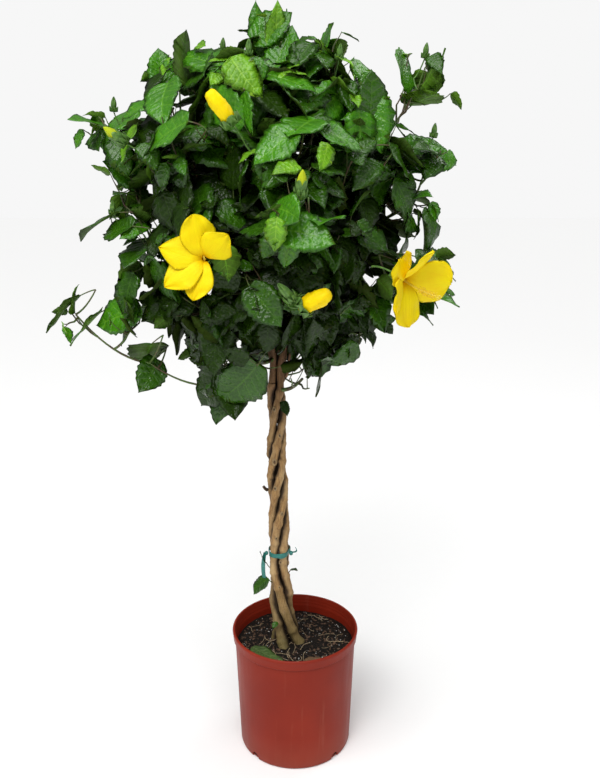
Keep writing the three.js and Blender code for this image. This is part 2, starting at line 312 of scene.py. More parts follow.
@dataclass(frozen=True)
class Bark(Finish):
    """Thin tan bark with pale pores, greener at the foot, redder at the fork, and painted shade in the
    grooves where stems press together.
    """

    name: str = "bark"
    tan: Colour = (0.46, 0.275, 0.105)
    brown: Colour = (0.15, 0.070, 0.022)
    pale: Colour = (0.60, 0.43, 0.22)
    # painted shade, laid in the grooves between the plaited stems
    crease: Colour = (0.016, 0.007, 0.003)
    foot: Colour = (0.15, 0.13, 0.045)
    head: Colour = (0.16, 0.075, 0.038)
    foot_height: float = 0.36
    head_height: float = 0.74
    axis_x: float = -0.034
    axis_lean: float = 0.020
    soil: float = 0.221
    lean_length: float = 0.095
    fork: tuple[float, float] = (0.765, 0.785)

    def outwardness(self, graph: Graph, place: Socket) -> Socket:
        """Return how squarely the bark faces away from the plait's axis, which leans at the foot; bark that
        faces in, where stems press, gets the painted shade.

        Args:
            graph: The material's graph.
            place: The Object coordinates.

        Returns:
            The socket: 1 or more where the bark faces out, and above the fork.
        """
        apart = graph.add("ShaderNodeSeparateXYZ", {0: place})
        rise = graph.math("DIVIDE", graph.math("SUBTRACT", self.soil, apart.outputs[2]), self.lean_length)
        lean = graph.math("MULTIPLY", graph.math("EXPONENT", rise), self.axis_lean)
        across = graph.math("SUBTRACT", graph.math("SUBTRACT", apart.outputs[0], lean), self.axis_x)
        away = graph.add("ShaderNodeCombineXYZ", {0: across, 1: apart.outputs[1]})
        unit = graph.add("ShaderNodeVectorMath", {0: away.outputs[0]}, operation="NORMALIZE")
        facing = graph.add("ShaderNodeNewGeometry").outputs[1]
        square = graph.add("ShaderNodeVectorMath", {0: unit.outputs[0], 1: facing}, operation="DOT_PRODUCT")
        above = graph.spread(apart.outputs[2], *self.fork)
        return graph.math("ADD", square.outputs["Value"], above)

    def paint(self, graph: Graph) -> dict:
        """Return the main shader's inputs."""
        place = graph.place()
        grain = graph.noise(graph.stretched(place, (420.0, 420.0, 60.0)), 1.0, 5.0, 0.65)
        patches = graph.noise(graph.stretched(place, (40.0, 40.0, 14.0)), 1.0, 4.0)
        pores = graph.add("ShaderNodeTexVoronoi", {
            "Vector": graph.stretched(place, (300.0, 300.0, 420.0)), "Scale": 1.0,
        }).outputs["Distance"]
        height = graph.add("ShaderNodeSeparateXYZ", {0: place}).outputs[2]
        wander = graph.math("MULTIPLY_ADD", patches, 0.16)
        wander.node.inputs[2].default_value = -0.08
        height = graph.math("ADD", height, wander)
        colour = graph.blend(graph.spread(grain, 0.3, 0.68), self.brown, self.tan)
        colour = graph.blend(graph.spread(patches, 0.48, 0.72, 0.0, 0.65), colour, self.pale)
        colour = graph.blend(graph.spread(height, 0.22, self.foot_height, 0.85, 0.0), colour, self.foot)
        colour = graph.blend(graph.spread(height, self.head_height - 0.06, self.head_height + 0.06,
                                          0.0, 0.8), colour, self.head)
        dots = graph.spread(pores, 0.0, 0.24, 0.75, 0.0)
        colour = graph.blend(dots, colour, self.pale)
        # painted shade: the bark that faces into the grooves between stems is darkened
        groove_shade = graph.spread(self.outwardness(graph, place), 0.42, 0.86, 0.93, 0.0)
        colour = graph.blend(groove_shade, colour, self.crease)
        normal = graph.relief(grain, 0.0016, 0.9)
        normal = graph.relief(dots, 0.0006, 0.7, normal)
        return {"Base Color": colour, "Roughness": graph.spread(grain, 0.3, 0.7, 0.55, 0.8),
                "Normal": normal, "Specular IOR Level": 0.35}


@dataclass(frozen=True)
class GreenStem(Finish):
    """Smooth young wood: green, with brown streaks."""

    name: str = "green_stem"
    green: Colour = (0.085, 0.155, 0.028)
    brown: Colour = (0.075, 0.045, 0.020)

    def paint(self, graph: Graph) -> dict:
        """Return the main shader's inputs."""
        place = graph.place()
        streaks = graph.noise(graph.stretched(place, (90.0, 90.0, 25.0)), 1.0, 3.0)
        pores = graph.noise(place, 700.0, 2.0)
        colour = graph.blend(graph.spread(streaks, 0.38, 0.62), self.green, self.brown)
        return {"Base Color": colour, "Roughness": 0.5,
                "Normal": graph.relief(pores, 0.0003, 0.6)}


@dataclass(frozen=True)
class LeafFinish:
    """The two sides of a leaf: glossy and quilted above, paler and matt below.

    The leaf's own map runs across it from 0 to 1 with the midrib at a half, and along
    it in side veins.
    """

    name: str
    upper: Colour
    under: Colour
    vein: Colour
    roughness: float = 0.34
    gloss: float = 0.4
    veins: int = 7
    quilt: float = 0.0016

    def material(self, underside: bool = False) -> Material:
        """Make the material of one side.

        Args:
            underside: True for the lower side.

        Returns:
            The material.
        """
        side = "under" if underside else "upper"
        material, graph, shader = new_material(f"leaf_{self.name}_{side}")
        own = graph.add("ShaderNodeUVMap", uv_map="leaf").outputs[0]
        parts = graph.add("ShaderNodeSeparateXYZ", {0: own})
        across = graph.math("ABSOLUTE", graph.math("SUBTRACT", parts.outputs[0], 0.5))
        phase = graph.math("FRACT", graph.math("MULTIPLY", parts.outputs[1], float(self.veins)))
        between = graph.math("ABSOLUTE", graph.math("SUBTRACT", phase, 0.5))  # a half at a vein
        side_vein = graph.spread(between, 0.43, 0.5)
        side_vein = graph.math("MULTIPLY", side_vein, graph.spread(across, 0.1, 0.5, 1.0, 0.35))
        midrib = graph.spread(across, 0.0, 0.035, 1.0, 0.0)
        lines = graph.math("MAXIMUM", side_vein, midrib)
        place = graph.place()
        net = graph.noise(place, 330.0, 3.0, 0.6)
        blisters = graph.add("ShaderNodeTexVoronoi", {"Vector": place, "Scale": 230.0},
                             feature="SMOOTH_F1").outputs["Distance"]
        patches = graph.noise(place, 26.0, 2.0)
        plain = self.under if underside else self.upper
        darker = tuple(0.66 * part for part in plain)
        colour = graph.blend(graph.spread(patches, 0.35, 0.65), plain, darker)
        colour = graph.blend(graph.spread(blisters, 0.45, 0.75, 0.0, 0.35), colour, self.vein)
        colour = graph.blend(graph.math("MULTIPLY", lines, 0.7 if underside else 0.55), colour, self.vein)
        puffed = graph.math("SUBTRACT", 1.0, graph.math("POWER", graph.math("MULTIPLY", between, 2.0), 2.4))
        puffed = graph.math("SUBTRACT", puffed, graph.math("MULTIPLY", midrib, 0.6))
        if underside:
            puffed = graph.math("MULTIPLY", puffed, -1.0)
        normal = graph.relief(net, 0.0008, 0.5)
        blistered = graph.math("SUBTRACT", 1.0, blisters)
        normal = graph.relief(blistered, 0.0016, 0.25 if underside else 0.8, normal)
        normal = graph.relief(puffed, self.quilt, 0.34, normal)
        rough = 0.62 if underside else graph.spread(patches, 0.3, 0.7, self.roughness - 0.05,
                                                    self.roughness + 0.10)
        graph.fill(shader, {"Base Color": colour, "Roughness": rough, "Normal": normal,
                            "Specular IOR Level": self.gloss * (0.4 if underside else 1.0)})
        return material


@dataclass(frozen=True)
class Petal(Finish):
    """Thin yellow petal, a deeper gold in its throat that is partly its own colour and partly painted shade,
    with fine lines that fan out.
    """

    name: str = "petal"
    yellow: Colour = (0.93, 0.66, 0.001)
    gold: Colour = (0.88, 0.44, 0.001)
    pale: Colour = (0.95, 0.74, 0.001)

    def paint(self, graph: Graph) -> dict:
        """Return the main shader's inputs."""
        own = graph.add("ShaderNodeUVMap", uv_map="leaf").outputs[0]
        parts = graph.add("ShaderNodeSeparateXYZ", {0: own})
        lines = graph.noise(graph.stretched(own, (34.0, 2.2, 1.0)), 1.0, 3.0, 0.55)
        cloud = graph.noise(graph.place(), 30.0, 2.0)
        along = parts.outputs[1]
        colour = graph.blend(graph.spread(cloud, 0.35, 0.65), self.yellow, self.pale)
        # deeper gold towards the petal's base: partly the petal's own colour, partly painted shade in the
        # throat
        colour = graph.blend(graph.spread(along, 0.02, 0.34, 0.85, 0.0), colour, self.gold)
        colour = graph.blend(graph.spread(lines, 0.5, 0.75, 0.0, 0.22), colour, self.gold)
        normal = graph.relief(lines, 0.0012, 0.6)
        return {"Base Color": colour, "Roughness": 0.55, "Normal": normal,
                "Subsurface Weight": 0.25, "Subsurface Scale": 0.004,
                "Subsurface Radius": (1.0, 0.7, 0.1), "Specular IOR Level": 0.15}


@dataclass(frozen=True)
class StretchTape(Finish):
    """Soft green plastic tape with fine lengthwise creases."""

    name: str = "tie_tape"
    colour: Colour = (0.010, 0.150, 0.125)
    worn: Colour = (0.05, 0.27, 0.23)

    def paint(self, graph: Graph) -> dict:
        """Return the main shader's inputs."""
        place = graph.place()
        creases = graph.noise(graph.stretched(place, (120.0, 120.0, 600.0)), 1.0, 4.0)
        colour = graph.blend(graph.spread(creases, 0.45, 0.75), self.colour, self.worn)
        return {"Base Color": colour, "Roughness": graph.spread(creases, 0.3, 0.7, 0.3, 0.5),
                "Normal": graph.relief(creases, 0.0012, 0.9)}


@dataclass(frozen=True)
class StudioPaper(Finish):
    """The pale floor."""

    name: str = "pale_floor"
    colour: Colour = (0.97, 0.97, 0.966)

    def paint(self, graph: Graph) -> dict:
        """Return the main shader's inputs."""
        fibre = graph.noise(graph.place(), 40.0, 3.0)
        darker = tuple(0.985 * part for part in self.colour)
        return {"Base Color": graph.blend(fibre, self.colour, darker), "Roughness": 0.9}


# upper side, under side, veins, roughness and gloss; one green painted lighter and darker from tone to tone
# for light and shade, the young one also truly yellower
LEAF_FINISHES = {tone: LeafFinish(tone.value, *look) for tone, look in {
    Tone.YOUNG: ((0.150, 0.400, 0.008), (0.20, 0.38, 0.02), (0.34, 0.60, 0.05), 0.32, 0.40),
    Tone.BRIGHT: ((0.050, 0.220, 0.004), (0.09, 0.20, 0.010), (0.15, 0.38, 0.02), 0.27, 0.45),
    Tone.MID: ((0.026, 0.098, 0.002), (0.05, 0.105, 0.008), (0.07, 0.19, 0.012), 0.26, 0.38),
    Tone.DEEP: ((0.014, 0.040, 0.001), (0.03, 0.052, 0.004), (0.030, 0.074, 0.004), 0.28, 0.24),
    Tone.SHADE: ((0.004, 0.010, 0.001), (0.010, 0.017, 0.002), (0.010, 0.022, 0.002), 0.45, 0.10),
}.items()}


# ---- making meshes


def polar(far: float, turn: float, height: float = 0.0) -> Vector:
    """Return the point at a distance from the Z axis and a turn round it in radians."""
    return Vector((far * math.cos(turn), far * math.sin(turn), height))


def standing(foot: Vector, way: Vector) -> Matrix:
    """Return the matrix that stands a shape made along Z on a foot, pointing a way."""
    return Matrix.Translation(foot) @ way.to_track_quat("Z", "Y").to_matrix().to_4x4()


@dataclass
class Body:
    """Vertices and faces being gathered into one mesh, with a leaf map and side flags."""

    vertices: list[Vector] = field(default_factory=list)
    faces: list[tuple[int, ...]] = field(default_factory=list)
    maps: list[list[tuple[float, float]]] = field(default_factory=list)
    under: list[bool] = field(default_factory=list)

    def face(self, corners: tuple[int, ...], own: list[tuple[float, float]], under: bool = False) -> None:
        """Add one face with its map corners and side."""
        self.faces.append(corners)
        self.maps.append(own)
        self.under.append(under)

    def skin(self, rings: list[list[Vector]], looped: bool = False, drape: float = 0.0) -> None:
        """Add rings of points joined one to the next, with the leaf map along them.

        Args:
            rings: Rings of the same number of points.
            looped: True to join the last ring to the first; False to close each end by a face.
            drape: How far along the map the first ring lies.
        """
        first, wide = len(self.vertices), len(rings[0])
        self.vertices.extend(spot for ring in rings for spot in ring)
        spans = len(rings) if looped else len(rings) - 1
        for row in range(spans):
            low, high = first + row * wide, first + (row + 1) % len(rings) * wide
            start, end = row / spans + drape, (row + 1) / spans + drape
            for side in range(wide):
                after = (side + 1) % wide
                left, right = side / wide, (side + 1) / wide
                own = [(left, start), (right, start), (right, end), (left, end)]
                self.face((low + side, low + after, high + after, high + side), own)
        if not looped:
            last = first + spans * wide
            self.face(tuple(last + side for side in range(wide)), [(0.5, 0.5)] * wide)
            self.face(tuple(first + side for side in reversed(range(wide))), [(0.5, 0.5)] * wide)

    def extend(self, other: "Body") -> None:
        """Add all of another body."""
        first = len(self.vertices)
        self.vertices.extend(other.vertices)
        self.faces.extend(tuple(first + corner for corner in corners) for corners in other.faces)
        self.maps.extend(other.maps)
        self.under.extend(other.under)

    def moved(self, matrix: Matrix) -> "Body":
        """Return a copy put somewhere else."""
        return Body([matrix @ v for v in self.vertices], list(self.faces), list(self.maps), list(self.under))

    def object(self, name: str, materials: list[Material]) -> bpy.types.Object:
        """Make the mesh object.

        Args:
            name: The object's name.
            materials: One material, or one for the upper side and one for the lower.

        Returns:
            The object, linked to the scene.
        """
        mesh = bpy.data.meshes.new(name)
        mesh.from_pydata([tuple(v) for v in self.vertices], [], self.faces)
        layer = mesh.uv_layers.new(name="leaf")
        flat = [corner for face_map in self.maps for corner in face_map]
        for index, corner in enumerate(flat):
            layer.data[index].uv = corner
        flags = mesh.attributes.new("underside", "BOOLEAN", "FACE")
        for index, flag in enumerate(self.under):
            flags.data[index].value = flag
        for material in materials:
            mesh.materials.append(material)
        if len(materials) > 1:
            for polygon, flag in zip(mesh.polygons, self.under):
                polygon.material_index = int(flag)
        mesh.shade_smooth()
        return linked(name, mesh)


def linked(name: str, mesh: bpy.types.Mesh) -> bpy.types.Object:
    """Put a mesh in the scene as an object."""
    item = bpy.data.objects.new(name, mesh)
    bpy.context.scene.collection.objects.link(item)
    return item


def plain_copy(item: bpy.types.Object) -> bpy.types.Object:
    """Replace an object by a plain mesh of what its modifiers make."""
    name = item.name
    bpy.context.view_layer.update()
    evaluated = item.evaluated_get(bpy.context.evaluated_depsgraph_get())
    mesh = bpy.data.meshes.new_from_object(evaluated)
    old = item.data
    item.modifiers.clear()
    item.data = mesh
    bpy.data.meshes.remove(old)
    mesh.name = name
    return item


def smoothed(item: bpy.types.Object, angle: float) -> bpy.types.Object:
    """Shade an object smooth, with sharp edges past an angle in degrees."""
    item.data.shade_smooth()
    item.data.set_sharp_from_angle(angle=math.radians(angle))
    return item


def settle(item: bpy.types.Object, nodes: list[str] | None = None) -> None:
    """Tie a finished piece to the frame.

    Args:
        item: The piece.
        nodes: CAD nodes that it stands for.
    """
    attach(item, "root")
    if nodes:
        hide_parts(*nodes)
    triangles = sum(len(polygon.vertices) - 2 for polygon in item.data.polygons)
    log.info("%s: %d triangles", item.name, triangles)


def lathe(profile: list[tuple[float, float]], segments: int) -> bpy.types.Mesh:
    """Turn a profile round the Z axis.

    Args:
        profile: Radius and height pairs, from the axis to the axis.
        segments: Faces round the axis.

    Returns:
        A closed mesh.
    """
    shape = bmesh.new()
    ring_edges = [shape.verts.new((radius, 0.0, height)) for radius, height in profile]
    edges = [shape.edges.new(pair) for pair in zip(ring_edges, ring_edges[1:])]
    bmesh.ops.spin(shape, geom=ring_edges + edges, cent=(0, 0, 0), axis=(0, 0, 1),
                   angle=math.tau, steps=segments)
    bmesh.ops.remove_doubles(shape, verts=shape.verts, dist=1e-6)
    bmesh.ops.recalc_face_normals(shape, faces=shape.faces)
    mesh = bpy.data.meshes.new("turned")
    shape.to_mesh(mesh)
    shape.free()
    return mesh


class NodeRecipe:
    """A Geometry Nodes tree with named inputs, run once on one object."""

    def __init__(self, name: str, inputs: dict[str, str]) -> None:
        """Start the tree.

        Args:
            name: The tree's name.
            inputs: Input name and socket type.
        """
        self.tree = bpy.data.node_groups.new(name, "GeometryNodeTree")
        face = self.tree.interface
        face.new_socket("Geometry", in_out="INPUT", socket_type="NodeSocketGeometry")
        self.ids = {}
        for label, kind in inputs.items():
            socket = face.new_socket(label, in_out="INPUT", socket_type=kind)
            self.ids[label] = socket.identifier
        face.new_socket("Geometry", in_out="OUTPUT", socket_type="NodeSocketGeometry")
        self.graph = Graph(self.tree)
        self.source = self.tree.nodes.new("NodeGroupInput").outputs

    def attribute(self, name: str, kind: str = "FLOAT") -> Socket:
        """Return a named attribute of the points or faces."""
        return self.graph.add("GeometryNodeInputNamedAttribute", {"Name": name}, data_type=kind).outputs[0]

    def end(self, geometry: Socket) -> None:
        """Join the last geometry to the tree's output."""
        self.graph.add("NodeGroupOutput", {0: geometry})

    def run(self, item: bpy.types.Object, values: dict) -> bpy.types.Object:
        """Run the tree on an object and keep the result as a plain mesh.

        Args:
            item: The object that the tree works on.
            values: Input name and value.

        Returns:
            The same object with its new mesh.
        """
        modifier = item.modifiers.new(self.tree.name, "NODES")
        modifier.node_group = self.tree
        for label, value in values.items():
            modifier[self.ids[label]] = value
        return plain_copy(item)


@dataclass
class LimbPath:
    """The centre line of one limb and its radius at each point."""

    points: list[Vector]
    radii: list[float]

    def at(self, share: float) -> Vector:
        """Return the point at a share of the number of points."""
        spot = share * (len(self.points) - 1)
        low = min(int(spot), len(self.points) - 2)
        return self.points[low].lerp(self.points[low + 1], spot - low)

    def heading(self, share: float) -> Vector:
        """Return the unit direction at a share of the number of points."""
        low = min(int(share * (len(self.points) - 1)), len(self.points) - 2)
        return (self.points[low + 1] - self.points[low]).normalized()


class LimbSweep:
    """Sweeps round limbs along their paths, with bark relief."""

    def __init__(self) -> None:
        """Build the tree: sweep, lumpy relief, fine relief, material."""
        recipe = NodeRecipe("limb_sweep", {
            "Sides": "NodeSocketInt", "Lump Height": "NodeSocketFloat", "Lump Scale": "NodeSocketFloat",
            "Grain Height": "NodeSocketFloat", "Grain Scale": "NodeSocketFloat",
            "Material": "NodeSocketMaterial",
        })
        add, source = recipe.graph.add, recipe.source
        curve = add("GeometryNodeMeshToCurve", {0: source["Geometry"]}).outputs[0]
        ring = add("GeometryNodeCurvePrimitiveCircle", {"Resolution": source["Sides"], "Radius": 1.0})
        swept = add("GeometryNodeCurveToMesh", {
            "Curve": curve, "Profile Curve": ring.outputs[0], "Scale": recipe.attribute("limb_radius"),
            "Fill Caps": True,
        }).outputs[0]
        place = add("GeometryNodeInputPosition").outputs[0]
        normal = add("GeometryNodeInputNormal").outputs[0]
        lumps = recipe.graph.noise(place, 1.0, 2.0)
        recipe.tree.links.new(source["Lump Scale"], lumps.node.inputs["Scale"])
        long_place = add("ShaderNodeVectorMath", {0: place, 1: (1.0, 1.0, 0.22)}, operation="MULTIPLY")
        grain = recipe.graph.noise(long_place.outputs[0], 1.0, 3.0)
        recipe.tree.links.new(source["Grain Scale"], grain.node.inputs["Scale"])
        lift = recipe.graph.math("MULTIPLY", recipe.graph.math("SUBTRACT", lumps, 0.5), source["Lump Height"])
        fine = recipe.graph.math("MULTIPLY", recipe.graph.math("SUBTRACT", grain, 0.5),
                                 source["Grain Height"])
        offset = add("ShaderNodeVectorMath",
                     {0: normal, "Scale": recipe.graph.math("ADD", lift, fine)}, operation="SCALE")
        moved = add("GeometryNodeSetPosition", {"Geometry": swept, "Offset": offset.outputs[0]})
        smooth = add("GeometryNodeSetShadeSmooth", {0: moved.outputs[0]})
        real = add("GeometryNodeRealizeInstances", {"Geometry": smooth.outputs[0]})
        dressed = add("GeometryNodeSetMaterial", {"Geometry": real.outputs[0],
                                                  "Material": source["Material"]})
        recipe.end(dressed.outputs[0])
        self.recipe = recipe

    def build(self, name: str, paths: list[LimbPath], material: Material, sides: int = 6,
              lumps: Point = (0.0, 40.0, 0.0), grain: float = 400.0) -> bpy.types.Object:
        """Sweep limbs along paths.

        Args:
            name: The piece's name.
            paths: One path for each limb.
            material: The limbs' material.
            sides: Faces round a limb.
            lumps: Height and scale of the lumps, and height of the grain.
            grain: Scale of the grain.

        Returns:
            The piece.
        """
        mesh = bpy.data.meshes.new(name)
        points = [tuple(point) for path in paths for point in path.points]
        edges, first = [], 0
        for path in paths:
            edges += [(first + step, first + step + 1) for step in range(len(path.points) - 1)]
            first += len(path.points)
        mesh.from_pydata(points, edges, [])
        radii = mesh.attributes.new("limb_radius", "FLOAT", "POINT")
        radii.data.foreach_set("value", [radius for path in paths for radius in path.radii])
        return self.recipe.run(linked(name, mesh), {
            "Sides": sides, "Lump Height": lumps[0], "Lump Scale": lumps[1], "Grain Height": lumps[2],
            "Grain Scale": grain, "Material": material,
        })


class ShapeScatter:
    """Puts one of a set of shapes at each of a set of points, turned and sized."""

    def __init__(self) -> None:
        """Build the tree: instances, realised, with a material for each side."""
        recipe = NodeRecipe("shape_scatter", {
            "Shapes": "NodeSocketCollection", "Upper": "NodeSocketMaterial", "Under": "NodeSocketMaterial",
        })
        add, source = recipe.graph.add, recipe.source
        shapes = add("GeometryNodeCollectionInfo", {
            "Collection": source["Shapes"], "Separate Children": True, "Reset Children": True,
        })
        turn = recipe.attribute("turn", "FLOAT_VECTOR")
        rotation = add("FunctionNodeEulerToRotation", {0: turn})
        placed = add("GeometryNodeInstanceOnPoints", {
            "Points": source["Geometry"], "Instance": shapes.outputs[0], "Pick Instance": True,
            "Instance Index": recipe.attribute("shape", "INT"), "Rotation": rotation.outputs[0],
            "Scale": recipe.attribute("size"),
        })
        real = add("GeometryNodeRealizeInstances", {"Geometry": placed.outputs[0]})
        upper = add("GeometryNodeSetMaterial", {"Geometry": real.outputs[0], "Material": source["Upper"]})
        under = add("GeometryNodeSetMaterial", {
            "Geometry": upper.outputs[0], "Selection": recipe.attribute("underside", "BOOLEAN"),
            "Material": source["Under"],
        })
        recipe.end(under.outputs[0])
        self.recipe = recipe

    def build(self, name: str, places: list[tuple[Vector, Matrix, float, int]],
              shapes: bpy.types.Collection, upper: Material,
              under: Material) -> bpy.types.Object:
        """Place the shapes.

        Args:
            name: The piece's name.
            places: Position, turning matrix, size and shape number of each copy.
            shapes: The shapes, named in order.
            upper: The main material.
            under: The material of the faces flagged as underside.

        Returns:
            The piece.
        """
        mesh = bpy.data.meshes.new(name)
        mesh.from_pydata([tuple(place[0]) for place in places], [], [])
        turns = [part for place in places for part in place[1].to_euler()]
        mesh.attributes.new("turn", "FLOAT_VECTOR", "POINT").data.foreach_set("vector", turns)
        mesh.attributes.new("size", "FLOAT", "POINT").data.foreach_set("value", [p[2] for p in places])
        mesh.attributes.new("shape", "INT", "POINT").data.foreach_set("value", [p[3] for p in places])
        return self.recipe.run(linked(name, mesh), {"Shapes": shapes, "Upper": upper, "Under": under})


class ShapeSet:
    """A few shapes in a collection of their own for copying, removed when they are done with."""

    def __init__(self, name: str, bodies: list[Body]) -> None:
        """Make an object of each body in a collection of their own."""
        self.collection = bpy.data.collections.new(name)
        bpy.context.scene.collection.children.link(self.collection)
        for index, body in enumerate(bodies):
            item = body.object(f"{name}_{index:02d}", [])
            bpy.context.scene.collection.objects.unlink(item)
            self.collection.objects.link(item)

    def clear(self) -> None:
        """Remove the shapes."""
        for item in list(self.collection.objects):
            bpy.data.meshes.remove(item.data)
        bpy.data.collections.remove(self.collection)


# ---- pot and mix


@dataclass
class NurseryPot:
    """A thin round plastic pot with a banded rim and drain arches at its foot."""

    height: float = 0.255
    rim_radius: float = 0.127
    base_radius: float = 0.1135
    corner: float = 0.004
    wall: float = 0.0024
    floor: float = 0.004
    taper: float = 0.036
    band_height: float = 0.021
    band_step: float = 0.0034
    ridges: int = 3
    segments: int = 144
    arches: int = 4
    arch_width: float = 0.018
    arch_height: float = 0.013
    arch_inside: float = 0.0045
    arch_outside: float = 0.010

    def outer(self, height: float) -> float:
        """Return the outside radius of the wall at a height."""
        return self.base_radius + self.taper * max(height - self.corner, 0.0)

    def inner(self, height: float) -> float:
        """Return the inside radius of the wall at a height."""
        return self.outer(height) - self.wall

    def profile(self) -> list[tuple[float, float]]:
        """Return the wall's section, from the axis below to the axis inside."""
        corner = [(self.base_radius - self.corner * (1 - math.sin(a)), self.corner * (1 - math.cos(a)))
                  for a in (0.0, 0.5, 1.0, math.pi / 2)]
        bottom = self.height - self.band_height
        band = self.outer(bottom) + self.band_step
        outside = [(self.outer(h), h) for h in (0.02, 0.06, 0.11, 0.16, 0.20, bottom - 0.004)]
        groove = [(self.outer(bottom) - 0.0004, bottom - 0.001), (self.outer(bottom), bottom),
                  (band - 0.001, bottom + 0.0002), (band, bottom + 0.0014)]
        lip = [(self.rim_radius - inset, self.height - below) for inset, below in (
            (0.0009, 0.0085), (0.0003, 0.006), (0.0, 0.003), (0.0006, 0.0011), (0.002, 0.0),
            (0.0038, 0.0), (0.0048, 0.001))]
        inside, start = [], self.rim_radius - 0.005
        step = (start - self.inner(bottom)) / self.ridges
        for ridge in range(self.ridges):
            top = self.height - 0.002 - ridge * self.band_height / self.ridges
            radius = start - ridge * step
            inside += [(radius, top), (radius - 0.0002, top - 0.0048), (radius - step * 0.8, top - 0.0056)]
        down = [(self.inner(h), h) for h in (bottom - 0.004, 0.16, 0.08, self.floor + 0.003)]
        return [(0.0, 0.0), *corner, *outside, *groove, *lip, *inside, *down,
                (self.inner(self.floor) - 0.003, self.floor), (0.0, self.floor)]

    def arch_cutter(self) -> bpy.types.Object:
        """Return the blocks that cut the drain arches."""
        body = Body()
        half, rise = self.arch_width / 2, self.arch_height - self.arch_width / 2
        outline = [(-half, -0.005), (half, -0.005)]
        outline += [(half * math.cos(a), rise + half * math.sin(a))
                    for a in (math.pi * step / 10 for step in range(11))]
        for arch in range(self.arches):
            turn = Matrix.Rotation(math.radians(-45 + 360 / self.arches * arch), 3, "Z")
            depths = (self.base_radius - self.arch_inside, self.base_radius + self.arch_outside)
            body.skin([[turn @ Vector((far, x, z)) for x, z in outline] for far in depths])
        return body.object("arch_cutter", [])

    def build(self) -> None:
        """Make the pot and stand it in for the CAD pot."""
        pot = linked("nursery_pot", lathe(self.profile(), self.segments))
        cutter = self.arch_cutter()
        cut = pot.modifiers.new("arches", "BOOLEAN")
        cut.object, cut.operation, cut.solver = cutter, "DIFFERENCE", "EXACT"
        pot = plain_copy(pot)
        bpy.data.meshes.remove(cutter.data)
        pot.data.materials.clear()
        pot.data.materials.append(MouldedPlastic().material())
        settle(smoothed(pot, 32), ["pot"])


